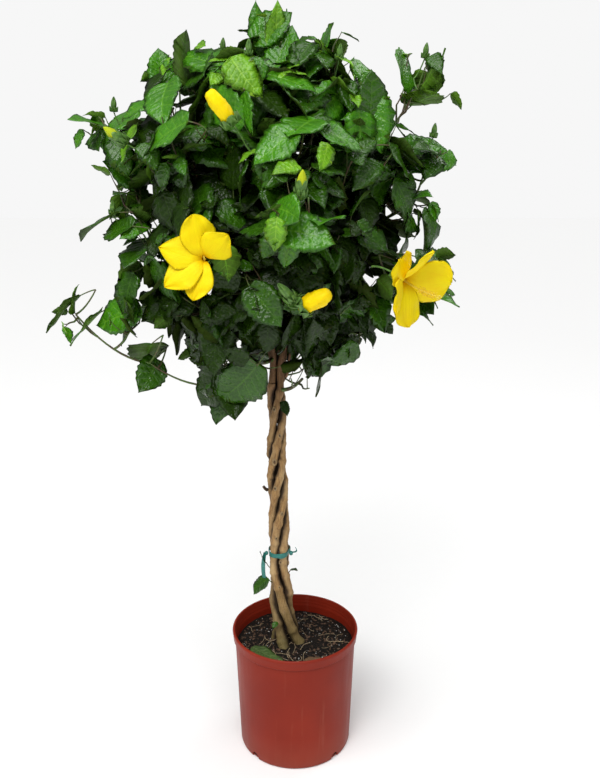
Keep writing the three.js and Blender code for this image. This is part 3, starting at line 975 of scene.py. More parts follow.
@dataclass
class PottingMix:
    """The bumpy top of the root ball, with bark chips, white grit and dry bits on it."""

    pot: NurseryPot
    top: float = 0.221
    relief: float = 0.0075
    rings: int = 46
    segments: int = 150
    chips: int = 640
    chip_sizes: tuple[float, float] = (0.004, 0.015)
    grit: int = 210
    grit_sizes: tuple[float, float] = (0.0014, 0.0042)
    roots: int = 46
    root_reach: float = 0.108
    root_limit: float = 0.112
    root_step: float = 0.0035
    seed: int = 11

    def level(self, x: float, y: float) -> float:
        """Return the height of the mix at a place."""
        wave = 0.0
        for scale, layer, share in ((24.0, 1.3, 0.6), (85.0, 4.1, 0.3), (210.0, 7.7, 0.16)):
            wave += noise.noise(Vector((x * scale, y * scale, layer))) * share
        edge = max(math.hypot(x, y) / self.pot.inner(self.top) - 0.86, 0.0) * 0.02
        heap = 0.004 * math.exp(-((x + 0.014) ** 2 + y * y) / 0.0016)
        return self.top + self.relief * wave * 0.55 - edge + heap

    def body(self) -> Body:
        """Return the root ball as one closed body."""
        body = Body()
        rim = self.pot.inner(self.top) - 0.0006
        body.vertices.append(Vector((0.0, 0.0, self.level(0.0, 0.0))))
        for ring in range(1, self.rings + 1):
            radius = rim * ring / self.rings
            for step in range(self.segments):
                turn = math.tau * step / self.segments
                x, y = radius * math.cos(turn), radius * math.sin(turn)
                body.vertices.append(Vector((x, y, self.level(x, y))))
        low = self.pot.floor + 0.001
        for height in (self.top - 0.02, low):
            radius = self.pot.inner(height) - 0.0008
            for step in range(self.segments):
                body.vertices.append(polar(radius, math.tau * step / self.segments, height))
        body.vertices.append(Vector((0.0, 0.0, low)))
        last = len(body.vertices) - 1
        for step in range(self.segments):
            after = (step + 1) % self.segments
            body.face((0, 1 + step, 1 + after), [(0.0, 0.0)] * 3)
            for ring in range(self.rings + 1):
                first = 1 + ring * self.segments
                body.face((first + step, first + self.segments + step, first + self.segments + after,
                           first + after), [(0.0, 0.0)] * 4)
            base = last - self.segments
            body.face((base + after, base + step, last), [(0.0, 0.0)] * 3)
        return body

    def scattered(self, count: int, sizes: tuple[float, float], shapes: int, seed: int,
                  bury: float) -> list[tuple[Vector, Matrix, float, int]]:
        """Choose places for small bits.

        Args:
            count: How many bits.
            sizes: Smallest and largest size.
            shapes: How many shapes there are.
            seed: The seed.
            bury: How far a bit is sunk, as a share of its size.

        Returns:
            Places for the scatter.
        """
        chance = random.Random(seed)
        rim = self.pot.inner(self.top) - 0.007
        places = []
        for _ in range(count):
            far, turn = rim * math.sqrt(chance.random()), chance.uniform(0.0, math.tau)
            x, y = far * math.cos(turn), far * math.sin(turn)
            size = chance.uniform(*sizes) * chance.uniform(0.6, 1.0)
            tilt = Matrix.Rotation(chance.gauss(0.0, 0.45), 3, "X") @ Matrix.Rotation(
                chance.gauss(0.0, 0.45), 3, "Y") @ Matrix.Rotation(chance.uniform(0, math.tau), 3, "Z")
            where = Vector((x, y, self.level(x, y) + size * (0.1 - bury)))
            places.append((where, tilt, size, chance.randrange(shapes)))
        return places

    @staticmethod
    def crumb(seed: int, flat: float, wide: float) -> Body:
        """Return one angular crumb of length 1.

        Args:
            seed: The seed.
            flat: Its thickness.
            wide: Its width.

        Returns:
            A closed body.
        """
        chance = random.Random(seed)
        shape = bmesh.new()
        for _ in range(14):
            spot = Vector((chance.uniform(-1, 1), chance.uniform(-1, 1), chance.uniform(-1, 1)))
            spot = spot.normalized() * chance.uniform(0.8, 1.0)
            shape.verts.new((0.5 * spot.x, 0.5 * wide * spot.y, 0.5 * flat * spot.z))
        hull = bmesh.ops.convex_hull(shape, input=shape.verts)
        bmesh.ops.delete(shape, geom=hull["geom_interior"], context="VERTS")
        bmesh.ops.recalc_face_normals(shape, faces=shape.faces)
        shape.verts.index_update()
        body = Body([vert.co.copy() for vert in shape.verts])
        for piece in shape.faces:
            body.face(tuple(vert.index for vert in piece.verts), [(0.0, 0.0)] * len(piece.verts))
        shape.free()
        return body

    def fibres(self) -> list[LimbPath]:
        """Return thin pale roots that lie on the mix."""
        chance = random.Random(self.seed + 3)
        paths = []
        for _ in range(self.roots):
            far, turn = self.root_reach * math.sqrt(chance.random()), chance.uniform(0.0, math.tau)
            x, y, heading = far * math.cos(turn), far * math.sin(turn), chance.uniform(0, math.tau)
            bend, points = chance.gauss(0.0, 0.16), []
            for _ in range(chance.randrange(6, 15)):
                if math.hypot(x, y) > self.root_limit:
                    break
                points.append(Vector((x, y, self.level(x, y) + 0.0012)))
                heading += bend + chance.gauss(0.0, 0.12)
                x += self.root_step * math.cos(heading)
                y += self.root_step * math.sin(heading)
            if len(points) > 3:
                thick = chance.uniform(0.0003, 0.0007)
                paths.append(LimbPath(points, [thick] * len(points)))
        return paths

    def build(self, sweep: LimbSweep, scatter: ShapeScatter) -> None:
        """Make the mix and everything that lies on it."""
        mix = self.body().object("root_ball", [MoistMix().material()])
        settle(smoothed(mix, 50), ["potting_mix"])
        bark = Flecked("bark_chip", (0.020, 0.012, 0.008), (0.16, 0.085, 0.045)).material()
        white = Flecked("perlite", (0.42, 0.40, 0.36), (0.82, 0.80, 0.76), 900.0, 0.0005).material()
        chips = ShapeSet("chip", [self.crumb(20 + i, 0.26, 0.30 + 0.16 * (i % 3)) for i in range(6)])
        chip_places = self.scattered(self.chips, self.chip_sizes, 6, self.seed, 0.05)
        grit = ShapeSet("grit", [self.crumb(40 + i, 0.8, 0.85) for i in range(4)])
        grit_places = self.scattered(self.grit, self.grit_sizes, 4, self.seed + 1, 0.1)
        for name, places, shapes, finish in (("bark_chips", chip_places, chips, bark),
                                             ("white_grit", grit_places, grit, white)):
            item = scatter.build(name, places, shapes.collection, finish, finish)
            shapes.clear()
            settle(smoothed(item, 20))
        pale = Flecked("dry_root", (0.20, 0.14, 0.075), (0.46, 0.36, 0.22), 500.0).material()
        settle(sweep.build("dry_roots", self.fibres(), pale, 5))


# ---- trunk and boughs


@dataclass
class PlaitedTrunk:
    """Four stems plaited into one trunk, flared at the foot and turned over at the tie."""

    stems: int = 4
    soil: float = 0.221
    fork: float = 0.762
    stagger: float = 0.009
    base_x: float = -0.014
    fork_x: float = -0.034
    lean_length: float = 0.095
    radius_low: float = 0.0094
    radius_high: float = 0.0072
    flare: float = 0.0036
    flare_length: float = 0.030
    splay: float = 0.005
    splay_length: float = 0.042
    packing: float = 1.54
    tie: float = 0.423
    twist_low: float = -700.0
    twist_high: float = 1120.0
    twist_blend: float = 0.016
    first_angle: float = -110.0
    swell: float = 0.0016
    wander: float = 0.16
    step: float = 0.0025
    scar_count: int = 9
    scar_start: float = 0.30
    scar_spacing: float = 0.053
    stub_height: float = 0.560

    def axis_x(self, z: float) -> float:
        """Return where the plait's axis stands at a height."""
        lean = math.exp(-max(z - self.soil, 0.0) / self.lean_length)
        return self.fork_x + (self.base_x - self.fork_x) * lean

    def radius(self, z: float) -> float:
        """Return one stem's radius at a height."""
        along = (z - self.soil) / (self.fork - self.soil)
        plain = self.radius_low + (self.radius_high - self.radius_low) * along
        return plain + self.flare * math.exp(-max(z - self.soil, 0.0) / self.flare_length)

    def angle(self, z: float, stem: int) -> float:
        """Return where a stem lies round the axis at a height, in radians."""
        above = self.twist_blend * math.log(1 + math.exp((z - self.tie) / self.twist_blend))
        turn = self.first_angle + self.twist_low * (z - self.soil)
        turn += (self.twist_high - self.twist_low) * above + 360.0 / self.stems * stem
        return math.radians(turn)

    def point(self, z: float, stem: int) -> Vector:
        """Return a stem's centre at a height."""
        turn = self.angle(z, stem)
        bulge = 1 + self.wander * math.sin(z * 47.0 + 1.9 * stem + math.sin(z * 19.0))
        far = self.packing * self.radius(z) * 0.95 * bulge
        far += self.splay * math.exp(-max(z - self.soil, 0.0) / self.splay_length)
        return Vector((self.axis_x(z) + far * math.cos(turn), far * math.sin(turn), z))

    def path(self, stem: int) -> LimbPath:
        """Return one stem's path, swelling a little where it once bore leaves."""
        top = self.fork + self.stagger * stem
        points, radii, z = [], [], self.soil - 0.010
        while z < top + 0.004:
            knot = 0.5 + 0.5 * math.sin(z * 165.0 + 2.1 * stem + 1.4 * math.sin(z * 31.0))
            points.append(self.point(z, stem))
            radii.append(self.radius(z) * 0.93 + self.swell * knot ** 5)
            z += self.step
        return LimbPath(points, radii)

    def front_stem(self, z: float) -> int:
        """Return the stem that lies nearest the front at a height."""
        return min(range(self.stems), key=lambda stem: self.point(z, stem).y)

    def scars(self, bark: Material, dark: Material) -> None:
        """Make the ringed scars that cut side shoots left.

        Args:
            bark: The rings' material.
            dark: The hearts' material.
        """
        ring, core = Body(), Body()
        for number in range(self.scar_count):  # up the front, to one side of it and the other in turn
            z = self.scar_start + self.scar_spacing * number
            aside = 0.5 * math.sin(2.2 * number)
            size = 0.0052 if number == 6 else 0.0030 + 0.0004 * (number % 3)
            stem = self.front_stem(z)
            facing = Vector((aside, -1.0, 0.05)).normalized()
            centre = self.point(z, stem) + facing * (self.radius(z) * 1.03 - 0.0002)
            place = standing(centre, facing) @ Matrix.Diagonal((0.78, 1.25, 1.0, 1.0))
            ring.extend(disc_stack([(1.25, -0.5), (1.12, 0.05), (0.9, 0.3), (0.66, 0.3), (0.5, 0.05)],
                                   14, size).moved(place))
            core.extend(disc_stack([(0.55, -0.3), (0.52, 0.08), (0.3, 0.12)], 10, size).moved(place))
        settle(smoothed(ring.object("stem_scars", [bark]), 60))
        settle(smoothed(core.object("scar_hearts", [dark]), 60))

    def build(self, sweep: LimbSweep, bark: Material) -> None:
        """Make the stems, their scars and a cut stub."""
        for stem in range(self.stems):
            item = sweep.build(f"plaited_stem_{stem + 1}", [self.path(stem)], bark, 20,
                               (0.0032, 55.0, 0.0016), 620.0)
            settle(item, [f"stem_{stem + 1}"])
        foot = Vector((self.axis_x(self.stub_height) - 0.020, -0.004, self.stub_height - 0.004))
        bend, end = foot + Vector((-0.004, -0.003, 0.004)), foot + Vector((-0.007, -0.004, 0.009))
        stub = LimbPath([foot, bend, end], [0.0036, 0.0030, 0.0026])
        settle(sweep.build("cut_stub", [stub], bark, 10, (0.0006, 300.0, 0.0004)))
        dark = Flecked("scar_heart", (0.030, 0.015, 0.008), (0.12, 0.07, 0.035)).material()
        pale = Flecked("scar_ring", (0.20, 0.125, 0.055), (0.42, 0.30, 0.15), 420.0).material()
        self.scars(pale, dark)


def disc_stack(rings: list[tuple[float, float]], sides: int, size: float) -> Body:
    """Make a low round body from rings that rise along Z.

    Args:
        rings: Radius and height of each ring.
        sides: Points on a ring.
        size: Scale of the whole.

    Returns:
        A closed body.
    """
    body = Body()
    body.skin([[polar(size * radius, math.tau * step / sides, size * height) for step in range(sides)]
               for radius, height in rings])
    return body


@dataclass
class PlantTie:
    """A soft tape wound once round the plait, with two knots, a short end and a hanging tail."""

    trunk: PlaitedTrunk
    height: float = 0.0095
    thickness: float = 0.0011

    def outline(self, z: float, count: int = 72) -> list[Vector]:
        """Stretch the tape round the four stems.

        Args:
            z: Its height.
            count: Points round it.

        Returns:
            Its path.
        """
        centres = [self.trunk.point(z, stem) for stem in range(self.trunk.stems)]
        radius = self.trunk.radius(z) * 1.03 + 0.0006
        middle = Vector((self.trunk.axis_x(z), 0.0, z))
        path = []
        for step in range(count):
            turn = math.tau * step / count
            out = polar(1.0, turn)
            far = radius + max((centre - middle).dot(out) for centre in centres)
            path.append(middle + out * (far - 0.0012 * abs(math.sin(2 * turn))))
        return path

    def band(self) -> Body:
        """Return the wound band, a little creased."""
        z = self.trunk.tie
        path = self.outline(z)
        centre = Vector((self.trunk.axis_x(z), 0.0, z))
        section = [(0.0, -0.5), (1.0, -0.46), (1.3, 0.0), (1.0, 0.46), (0.0, 0.5), (0.0, 0.0)]
        rings = []
        for step, spot in enumerate(path):
            out = (spot - centre).normalized()
            slope = 0.0020 * math.sin(math.tau * step / len(path) + 0.6)
            rings.append([])
            for across, up in section:
                crease = 0.0004 * noise.noise(Vector((step * 0.4, up * 5.0, 0.0)))
                rise = UP * (up * self.height * (1 + 0.12 * math.sin(step * 0.35)) + slope)
                rings[-1].append(spot + out * (across * self.thickness + crease) + rise)
        body = Body()
        body.skin(rings, looped=True)
        return body

    def strip(self, points: list[Vector], widths: list[float], across: Vector) -> Body:
        """Return a flat strip along points.

        Args:
            points: The strip's centre line.
            widths: Its width at each point.
            across: The direction of its width.

        Returns:
            A closed body.
        """
        rings = []
        for index, (spot, width) in enumerate(zip(points, widths)):
            ahead = points[min(index + 1, len(points) - 1)] - points[max(index - 1, 0)]
            side = (across - across.project(ahead)).normalized()
            front = side.cross(ahead).normalized()
            rings.append([])
            for left, out in ((-0.5, -0.5), (0.5, -0.5), (0.5, 0.5), (-0.5, 0.5)):
                crease = 0.10 * math.sin(index * 1.9) * abs(left)
                rings[-1].append(spot + side * (left * width) + front * ((out + crease) * self.thickness))
        body = Body()
        body.skin(rings)
        return body

    def build(self) -> None:
        """Make the band, its two knots, the short end and the tail."""
        z, axis = self.trunk.tie, self.trunk.axis_x(self.trunk.tie)
        body = self.band()
        left = Vector((axis - 0.0265, -0.006, z - 0.002))
        tail = [left + Vector((-0.001 - 0.004 * math.sin(t * 2.6), -0.001 - 0.002 * t, 0.002 - 0.054 * t))
                for t in (step / 12 for step in range(13))]
        widths = [0.0065 + 0.0035 * math.sin(min(step / 8, 1.0) * math.pi * 0.6) for step in range(13)]
        body.extend(self.strip(tail, widths, Vector((0.75, -0.65, 0.0))))
        right = Vector((axis + 0.0250, -0.010, z + 0.002))
        ear = [right + Vector((0.010 * math.sin(2.2 * t), -0.003 * t, 0.001 + 0.011 * t * t))
               for t in (step / 8 for step in range(9))]
        body.extend(self.strip(ear, [0.0055] * 9, Vector((0.2, -1.0, 0.2))))
        knots = ((right + Vector((-0.001, -0.002, 0.0)), 0.0050),
                 (left + Vector((0.002, -0.002, 0.002)), 0.0046))
        for at, size in knots:
            knot = disc_stack([(0.4, -0.9), (0.85, -0.6), (1.0, 0.0), (0.85, 0.6), (0.4, 0.9)], 12, size)
            body.extend(knot.moved(Matrix.Translation(at) @ Matrix.Diagonal((0.8, 0.8, 0.95, 1.0))))
        item = body.object("tie_tape", [StretchTape().material()])
        clean = bmesh.new()
        clean.from_mesh(item.data)
        bmesh.ops.recalc_face_normals(clean, faces=clean.faces)
        clean.to_mesh(item.data)
        clean.free()
        settle(smoothed(item, 50), ["plant_tie"])


# ---- leaves


@dataclass(frozen=True)
class LeafShape:
    """Proportions of one toothed leaf for a blade of length 1, tip along X, upper side up."""

    width: float = 0.74
    widest: float = 0.40
    fold: float = 0.22
    curl: float = 0.20
    bend: float = 0.04
    wave: float = 0.03
    teeth: float = 0.06
    veins: int = 5
    rows: int = 10
    columns: int = 2
    quilt: float = 0.016
    thickness: float = 0.005
    phase: float = 0.0

    def half_width(self, along: float) -> float:
        """Return half the plain width at a share of the blade's length."""
        power = math.log(0.5) / math.log(self.widest)
        lobe = max(math.sin(math.pi * along ** power), 0.0)
        return 0.5 * self.width * lobe ** (0.50 + 0.55 * along * along)

    def spot(self, along: float, across: float) -> Vector:
        """Return a point of the upper side.

        Args:
            along: Share of the blade's length at the margin; 0 at the base.
            across: -1 and 1 at the margins, 0 on the midrib.

        Returns:
            The point.
        """
        edge = abs(across)
        tooth = math.cos(math.tau * self.veins * along) * self.teeth
        tooth *= math.sin(math.pi * min(along * 1.06, 1.0))
        rib = along - 0.8 * along * (1 - along)
        half = self.half_width(along) * (1 + 1.6 * tooth * edge ** 3)
        x = rib + (along - rib) * edge ** 0.8
        if along < 0.12:
            x -= 0.42 * (0.12 - along) * edge * (1.2 if along > 0 else 0.0)
        y = across * half + self.bend * math.sin(math.pi * x)
        lift = self.fold * edge * half * (1 - 0.45 * edge)
        puff = 1.6 * self.quilt * abs(math.sin(math.pi * self.veins * along))
        puff *= math.sin(math.pi * min(edge, 0.98))
        beat = math.tau * (1.7 * along + self.phase) + (1.3 if across > 0 else 0.0)
        ripple = self.wave * edge ** 2 * math.sin(beat)
        drop = self.curl * x * x
        return Vector((x * (1 - 0.25 * self.curl * x), y, lift + puff + ripple - drop))

    def body(self) -> Body:
        """Return the blade as one closed thin body."""
        body = Body()
        shares = [side / self.columns for side in range(-self.columns, self.columns + 1)]
        wide = len(shares)
        for row in range(self.rows + 1):
            for across in shares:
                body.vertices.append(self.spot(row / self.rows, across))
        lower = [0] * (self.rows + 1)
        for row in range(self.rows + 1):
            lower[row] = len(body.vertices)
            centre = self.spot(row / self.rows, 0.0)
            ends = row in (0, self.rows)
            body.vertices.append(centre - Vector((0.0, 0.0, 0.0 if ends else 2.2 * self.thickness)))
        for row in range(self.rows):
            low, high = row / self.rows, (row + 1) / self.rows
            for step in range(wide - 1):
                first = row * wide + step
                left, right = 0.5 + 0.5 * shares[step], 0.5 + 0.5 * shares[step + 1]
                corners = (first, first + wide, first + wide + 1, first + 1)
                body.face(tuple(reversed(corners)), [(right, low), (right, high), (left, high), (left, low)])
            for start, middle_first in ((row * wide, False), (row * wide + wide - 1, True)):
                edge = 1.0 if middle_first else 0.0
                corners = [start, start + wide, lower[row + 1], lower[row]]
                own = [(edge, low), (edge, high), (0.5, high), (0.5, low)]
                if middle_first:
                    body.face(tuple(reversed(corners)), list(reversed(own)), True)
                else:
                    body.face(tuple(corners), own, True)
        return body


def checked(body: Body) -> Body:
    """Merge a body's doubled corners and turn its faces outward.

    Args:
        body: The body.

    Returns:
        The cleaned body.
    """
    mesh = bmesh.new()
    verts = [mesh.verts.new(vertex) for vertex in body.vertices]
    mesh.verts.index_update()
    layer = mesh.loops.layers.uv.new("leaf")
    flags = mesh.faces.layers.int.new("side")
    for corners, own, under in zip(body.faces, body.maps, body.under):
        if len(set(corners)) < 3:
            continue
        piece = mesh.faces.new([verts[corner] for corner in corners])
        piece[flags] = int(under)
        for loop, corner in zip(piece.loops, own):
            loop[layer].uv = corner
    bmesh.ops.remove_doubles(mesh, verts=mesh.verts, dist=1e-4)
    bmesh.ops.dissolve_degenerate(mesh, edges=mesh.edges, dist=1e-5)
    bmesh.ops.recalc_face_normals(mesh, faces=mesh.faces)
    mesh.verts.index_update()
    result = Body([vert.co.copy() for vert in mesh.verts])
    for piece in mesh.faces:
        own = [tuple(loop[layer].uv) for loop in piece.loops]
        result.face(tuple(vert.index for vert in piece.verts), own, bool(piece[flags]))
    mesh.free()
    return result


@dataclass
class Leaf:
    """One leaf: where its blade starts, the way it points and faces, and its size and tone."""

    base: Vector
    heading: Vector
    facing: Vector
    length: float
    tone: Tone
    shape: int = 0

    def turn(self) -> Matrix:
        """Return the matrix that turns a leaf shape this way."""
        along = self.heading.normalized()
        side = self.facing.cross(along)
        if side.length < 1e-4:
            side = UP.cross(along) if abs(along.z) < 0.95 else Vector((0.0, 1.0, 0.0))
        side.normalize()
        return Matrix((along, side, along.cross(side))).transposed()

    def place(self) -> Matrix:
        """Return the whole placing matrix."""
        return Matrix.Translation(self.base) @ self.turn().to_4x4() @ Matrix.Scale(self.length, 4)


def bent_path(start: Vector, end: Vector, bow: Vector, thick: float, thin: float, steps: int) -> LimbPath:
    """Make a smooth path between two points.

    Args:
        start: First point.
        end: Last point.
        bow: How far the middle is pushed aside.
        thick: Radius at the start.
        thin: Radius at the end.
        steps: Number of pieces.

    Returns:
        The path.
    """
    points, radii = [], []
    for step in range(steps + 1):
        share = step / steps
        points.append(start.lerp(end, share) + bow * (4 * share * (1 - share)))
        radii.append(thick + (thin - thick) * share)
    return LimbPath(points, radii)


# ---- the head's plan


@dataclass(frozen=True)
class Perch:
    """A place told from a mass of the frame, in shares of its half sizes from its middle."""

    node: str
    across: float
    back: float
    up: float

    def spot(self) -> Vector:
        """Return the place."""
        low, high = (Vector(corner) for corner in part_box(self.node))
        middle, half = (low + high) / 2, (high - low) / 2
        return middle + Vector((self.across * half.x, self.back * half.y, self.up * half.z))


@dataclass(frozen=True)
class PlacedLeaf:
    """A finely made leaf: the ends of its blade, its width, tone and the way its upper side faces."""

    base: Vector
    tip: Vector
    width: float
    tone: Tone
    facing: Vector
    curl: float = 0.16
    fold: float = 0.22


@dataclass(frozen=True)
class BoughRule:
    """How one bough leaves the plait, and the mass it runs into."""

    stem: int
    below: float
    radius: float
    into: str
    bow: float


BOUGHS = {
    "bough_leader": BoughRule(1, 0.0, 0.0068, "foliage_leader", 0.026),
    "bough_left": BoughRule(0, 0.0, 0.0068, "foliage_shoulder_1", 0.018),
    "bough_right": BoughRule(2, 0.0, 0.0068, "foliage_shoulder_3", 0.018),
    "bough_front": BoughRule(3, 0.0, 0.0066, "foliage_shoulder_2", 0.016),
    "bough_rear": BoughRule(2, 0.024, 0.0058, "foliage_shoulder_4", 0.016),
    "bough_low_right": BoughRule(3, 0.022, 0.0050, "foliage_lower_3", 0.014),
    "bough_low_rear": BoughRule(1, 0.026, 0.0048, "foliage_lower_4", 0.012),
    "bough_low_left": BoughRule(0, 0.030, 0.0046, "foliage_skirt_4", 0.010),
}


def ways_round(count: int, spin: float) -> list[Vector]:
    """Return directions spread evenly over a ball, from its top to its bottom."""
    golden = math.pi * (3 - math.sqrt(5))
    ways = []
    for step in range(count):
        level = 1 - 2 * (step + 0.5) / count
        ways.append(polar(math.sqrt(1 - level * level), golden * step + spin, level))
    return ways


def in_box(heart: Vector, half: Vector, way: Vector, share: float) -> Vector:
    """Return the place a share of the way from a box's heart, told in its half sizes."""
    return heart + Vector((way.x * half.x, way.y * half.y, way.z * half.z)) * share


@dataclass
class LeafyHead:
    """The head: boughs, twigs and leaves grown on through the space of every mass."""

    trunk: PlaitedTrunk
    seed: int = 5
    centre: Point = (-0.036, 0.0, 1.075)
    reach: Point = (0.30, 0.27, 0.34)
    front: Point = (0.010, -1.524, 1.210)
    spacing: float = 0.0215
    tier_slack: float = 0.009
    shoot_slack: float = 0.026
    turn_step: float = 137.5
    shape_count: int = 9
    limbs: list[LimbPath] = field(default_factory=list)
    twigs: list[LimbPath] = field(default_factory=list)
    stalks: list[LimbPath] = field(default_factory=list)
    leaves: list[Leaf] = field(default_factory=list)
    keep_clear: list[tuple[Vector, float, Vector]] = field(default_factory=list)
    show_density: float = 2300.0
    show_spacing: float = 0.060
    show_length: tuple[float, float] = (0.082, 0.122)
    show_width: tuple[float, float] = (0.66, 0.84)
    show_depth: float = 0.80
    shoot_room: float = 0.0108
    leaf_length: tuple[float, float] = (0.074, 0.108)
    stalk_share: tuple[float, float] = (0.22, 0.42)

    def __post_init__(self) -> None:
        """Start the seeded stream and find the masses."""
        self.chance = random.Random(self.seed)
        self.masses = sorted(name for name in frame["nodes"] if name.startswith(("foliage_", "shoot_")))
        self.middle = Vector(self.centre)
        self.rooms = [(*self.room(name), self.shoot_slack if self.reaching(name) else self.tier_slack)
                      for name in self.masses]
        fork = Vector((self.trunk.axis_x(self.trunk.fork), 0.0, self.trunk.fork + 0.012))
        self.keep_clear.append((fork, 0.020, (Vector(self.front) - fork).normalized()))

    @staticmethod
    def reaching(node: str) -> bool:
        """Tell whether a mass is a shoot or the leader, whose leaves reach out past the tiers."""
        return node.startswith("shoot_") or node == "foliage_leader"

    @staticmethod
    def room(node: str) -> tuple[Vector, Vector]:
        """Return the middle and the half sizes of a mass."""
        low, high = (Vector(corner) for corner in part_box(node))
        return (low + high) / 2, (high - low) / 2

    def openness(self, spot: Vector) -> float:
        """Return how far out in the head a place is: 0 at its middle, about 1 at its surface."""
        away = spot - self.middle
        return math.sqrt(sum((part / reach) ** 2 for part, reach in zip(away, self.reach)))

    def nearest(self, spot: Vector, limbs: list[LimbPath]) -> tuple[LimbPath, int]:
        """Return the limb and the number of its point nearest to a place, a little below it."""
        best, found = 1e9, (limbs[0], 0)
        for limb in limbs:
            for number in range(2, len(limb.points)):
                point = limb.points[number]
                far = (point - spot).length + 0.6 * max(point.z - spot.z + 0.03, 0.0)
                if far < best:
                    best, found = far, (limb, number)
        return found

    def grow_boughs(self) -> dict[str, LimbPath]:
        """Return each bough's path, from its stem to the heart of its mass."""
        paths = {}
        for name, rule in BOUGHS.items():
            start_height = self.trunk.fork + self.trunk.stagger * rule.stem - rule.below
            start = self.trunk.point(start_height - (0.004 if rule.below == 0 else 0.0), rule.stem)
            goal = self.room(rule.into)[0]
            rise = goal.z - start.z
            outward = Vector((goal.x - start.x, goal.y - start.y, 0.0)).normalized()
            lead = start + UP * (0.12 * rise) + outward * (0.003 if rule.below == 0 else 0.014)
            middle = start.lerp(goal, 0.45) - outward * rule.bow + UP * (0.06 * rise)
            corners = [start - UP * 0.01, start, lead, middle, goal, goal + (goal - middle) * 0.3]
            points, radii = [], []
            for piece in range(1, 4):
                for step in range(14):
                    points.append(catmull(corners[piece - 1:piece + 3], step / 14))
            points.append(goal)
            for number, point in enumerate(points):
                share = number / (len(points) - 1)
                kink = noise.noise(point * 34.0) * 0.0022 * math.sin(math.pi * share)
                points[number] = point + Vector((kink, -kink, 0.0))
                radii.append(rule.radius * (1 - 0.62 * share) + 0.0005 * math.sin(number * 1.7) ** 8)
            paths[name] = LimbPath(points, radii)
        return paths

    def tone(self, spot: Vector, share: float) -> Tone:
        """Choose a leaf's tone: painted shade for leaves deep inside and low in the head, painted light for
        those at the top and outside, and the yellower young tone near a shoot's tip.

        Args:
            spot: Where it grows.
            share: How near the tip of its shoot it is, up to 1.

        Returns:
            The tone.
        """
        far = self.openness(spot)
        light = far + 0.30 * (spot.z - self.middle.z) / self.reach[2] + self.chance.gauss(0.0, 0.10)
        if share > 0.86 and light > 0.98 and self.chance.random() < 0.45:
            return Tone.YOUNG
        if far < 0.50:
            return Tone.SHADE
        if light < 0.64:
            return Tone.DEEP
        if light < 0.92:
            return Tone.MID if self.chance.random() < 0.8 else Tone.DEEP
        return Tone.BRIGHT if self.chance.random() < 0.70 else Tone.MID

    def within(self, spot: Vector) -> bool:
        """Tell whether a place lies in or just outside one of the masses."""
        for heart, half, slack in self.rooms:
            away = spot - heart
            if sum((part / (size + slack)) ** 2 for part, size in zip(away, half)) < 1.0:
                return True
        return False

    def covers(self, middle: Vector, length: float) -> bool:
        """Tell whether a leaf would hang in front of a large leaf or a flower."""
        for place, radius, way in self.keep_clear:
            ahead = (middle - place).dot(way)
            aside = (middle - place - way * ahead).length
            if ahead > -0.012 and aside < radius + 0.36 * length:
                return True
        return False

    def add_leaf(self, joint: Vector, heading: Vector, facing: Vector, length: float, tone: Tone) -> None:
        """Grow one leaf on its stalk, where it stays in the masses and hides nothing large.

        Args:
            joint: Where its stalk leaves the twig.
            heading: The way its stalk points.
            facing: The way its upper side faces.
            length: Its length.
            tone: Its tone.
        """
        stalk = length * self.chance.uniform(*self.stalk_share)
        base = joint + heading * stalk + UP * (0.25 * stalk)
        drop = (heading - UP * self.chance.uniform(0.25, 1.0)).normalized()
        if not self.within(base + drop * length):
            drop = (drop + (self.middle - base).normalized() * 0.7).normalized()
            if not self.within(base + drop * length):
                length *= 0.76
            if not self.within(base + drop * length):
                return
        if self.covers(base + drop * (0.5 * length), length):
            return
        self.stalks.append(bent_path(joint, base, UP * (-0.08 * stalk), 0.0010, 0.0007, 3))
        self.leaves.append(Leaf(base, drop, facing, length, tone, self.chance.randrange(self.shape_count)))

    def grow_shoot(self, start: Vector, end: Vector, thick: float, leafy_from: float, size: float) -> None:
        """Grow a twig with leaves set round it.

        Args:
            start: Where it leaves its limb.
            end: Its tip.
            thick: Its radius at the start.
            leafy_from: The share of its length that stays bare.
            size: Scale of its leaves.
        """
        chance = self.chance
        length = (end - start).length
        outward = (end - self.middle).normalized()
        bow = UP * (-0.10 * length) + outward * chance.uniform(-0.02, 0.03) * length
        steps = max(4, int(length / 0.014))
        twig = bent_path(start, end, bow, thick, 0.0012, steps)
        for number in range(1, len(twig.points) - 1):
            wobble = Vector((chance.gauss(0, 1), chance.gauss(0, 1), chance.gauss(0, 1)))
            twig.points[number] = twig.points[number] + wobble * 0.0014
        self.twigs.append(twig)
        count = max(3, int((1 - leafy_from) * length / self.spacing))
        turn, before = chance.uniform(0.0, 360.0), len(self.leaves)
        for number in range(count):
            share = leafy_from + (1 - leafy_from) * (number + 0.5) / count
            turn += self.turn_step + chance.gauss(0.0, 9.0)
            self.set_leaf(twig, share, turn, outward, size)
        for number in range(2):  # small new leaves at the tip
            turn += self.turn_step
            self.set_leaf(twig, 0.99, turn, outward, size * (0.92 - 0.20 * number), 1.0)
        if len(self.leaves) == before:
            self.twigs.pop()

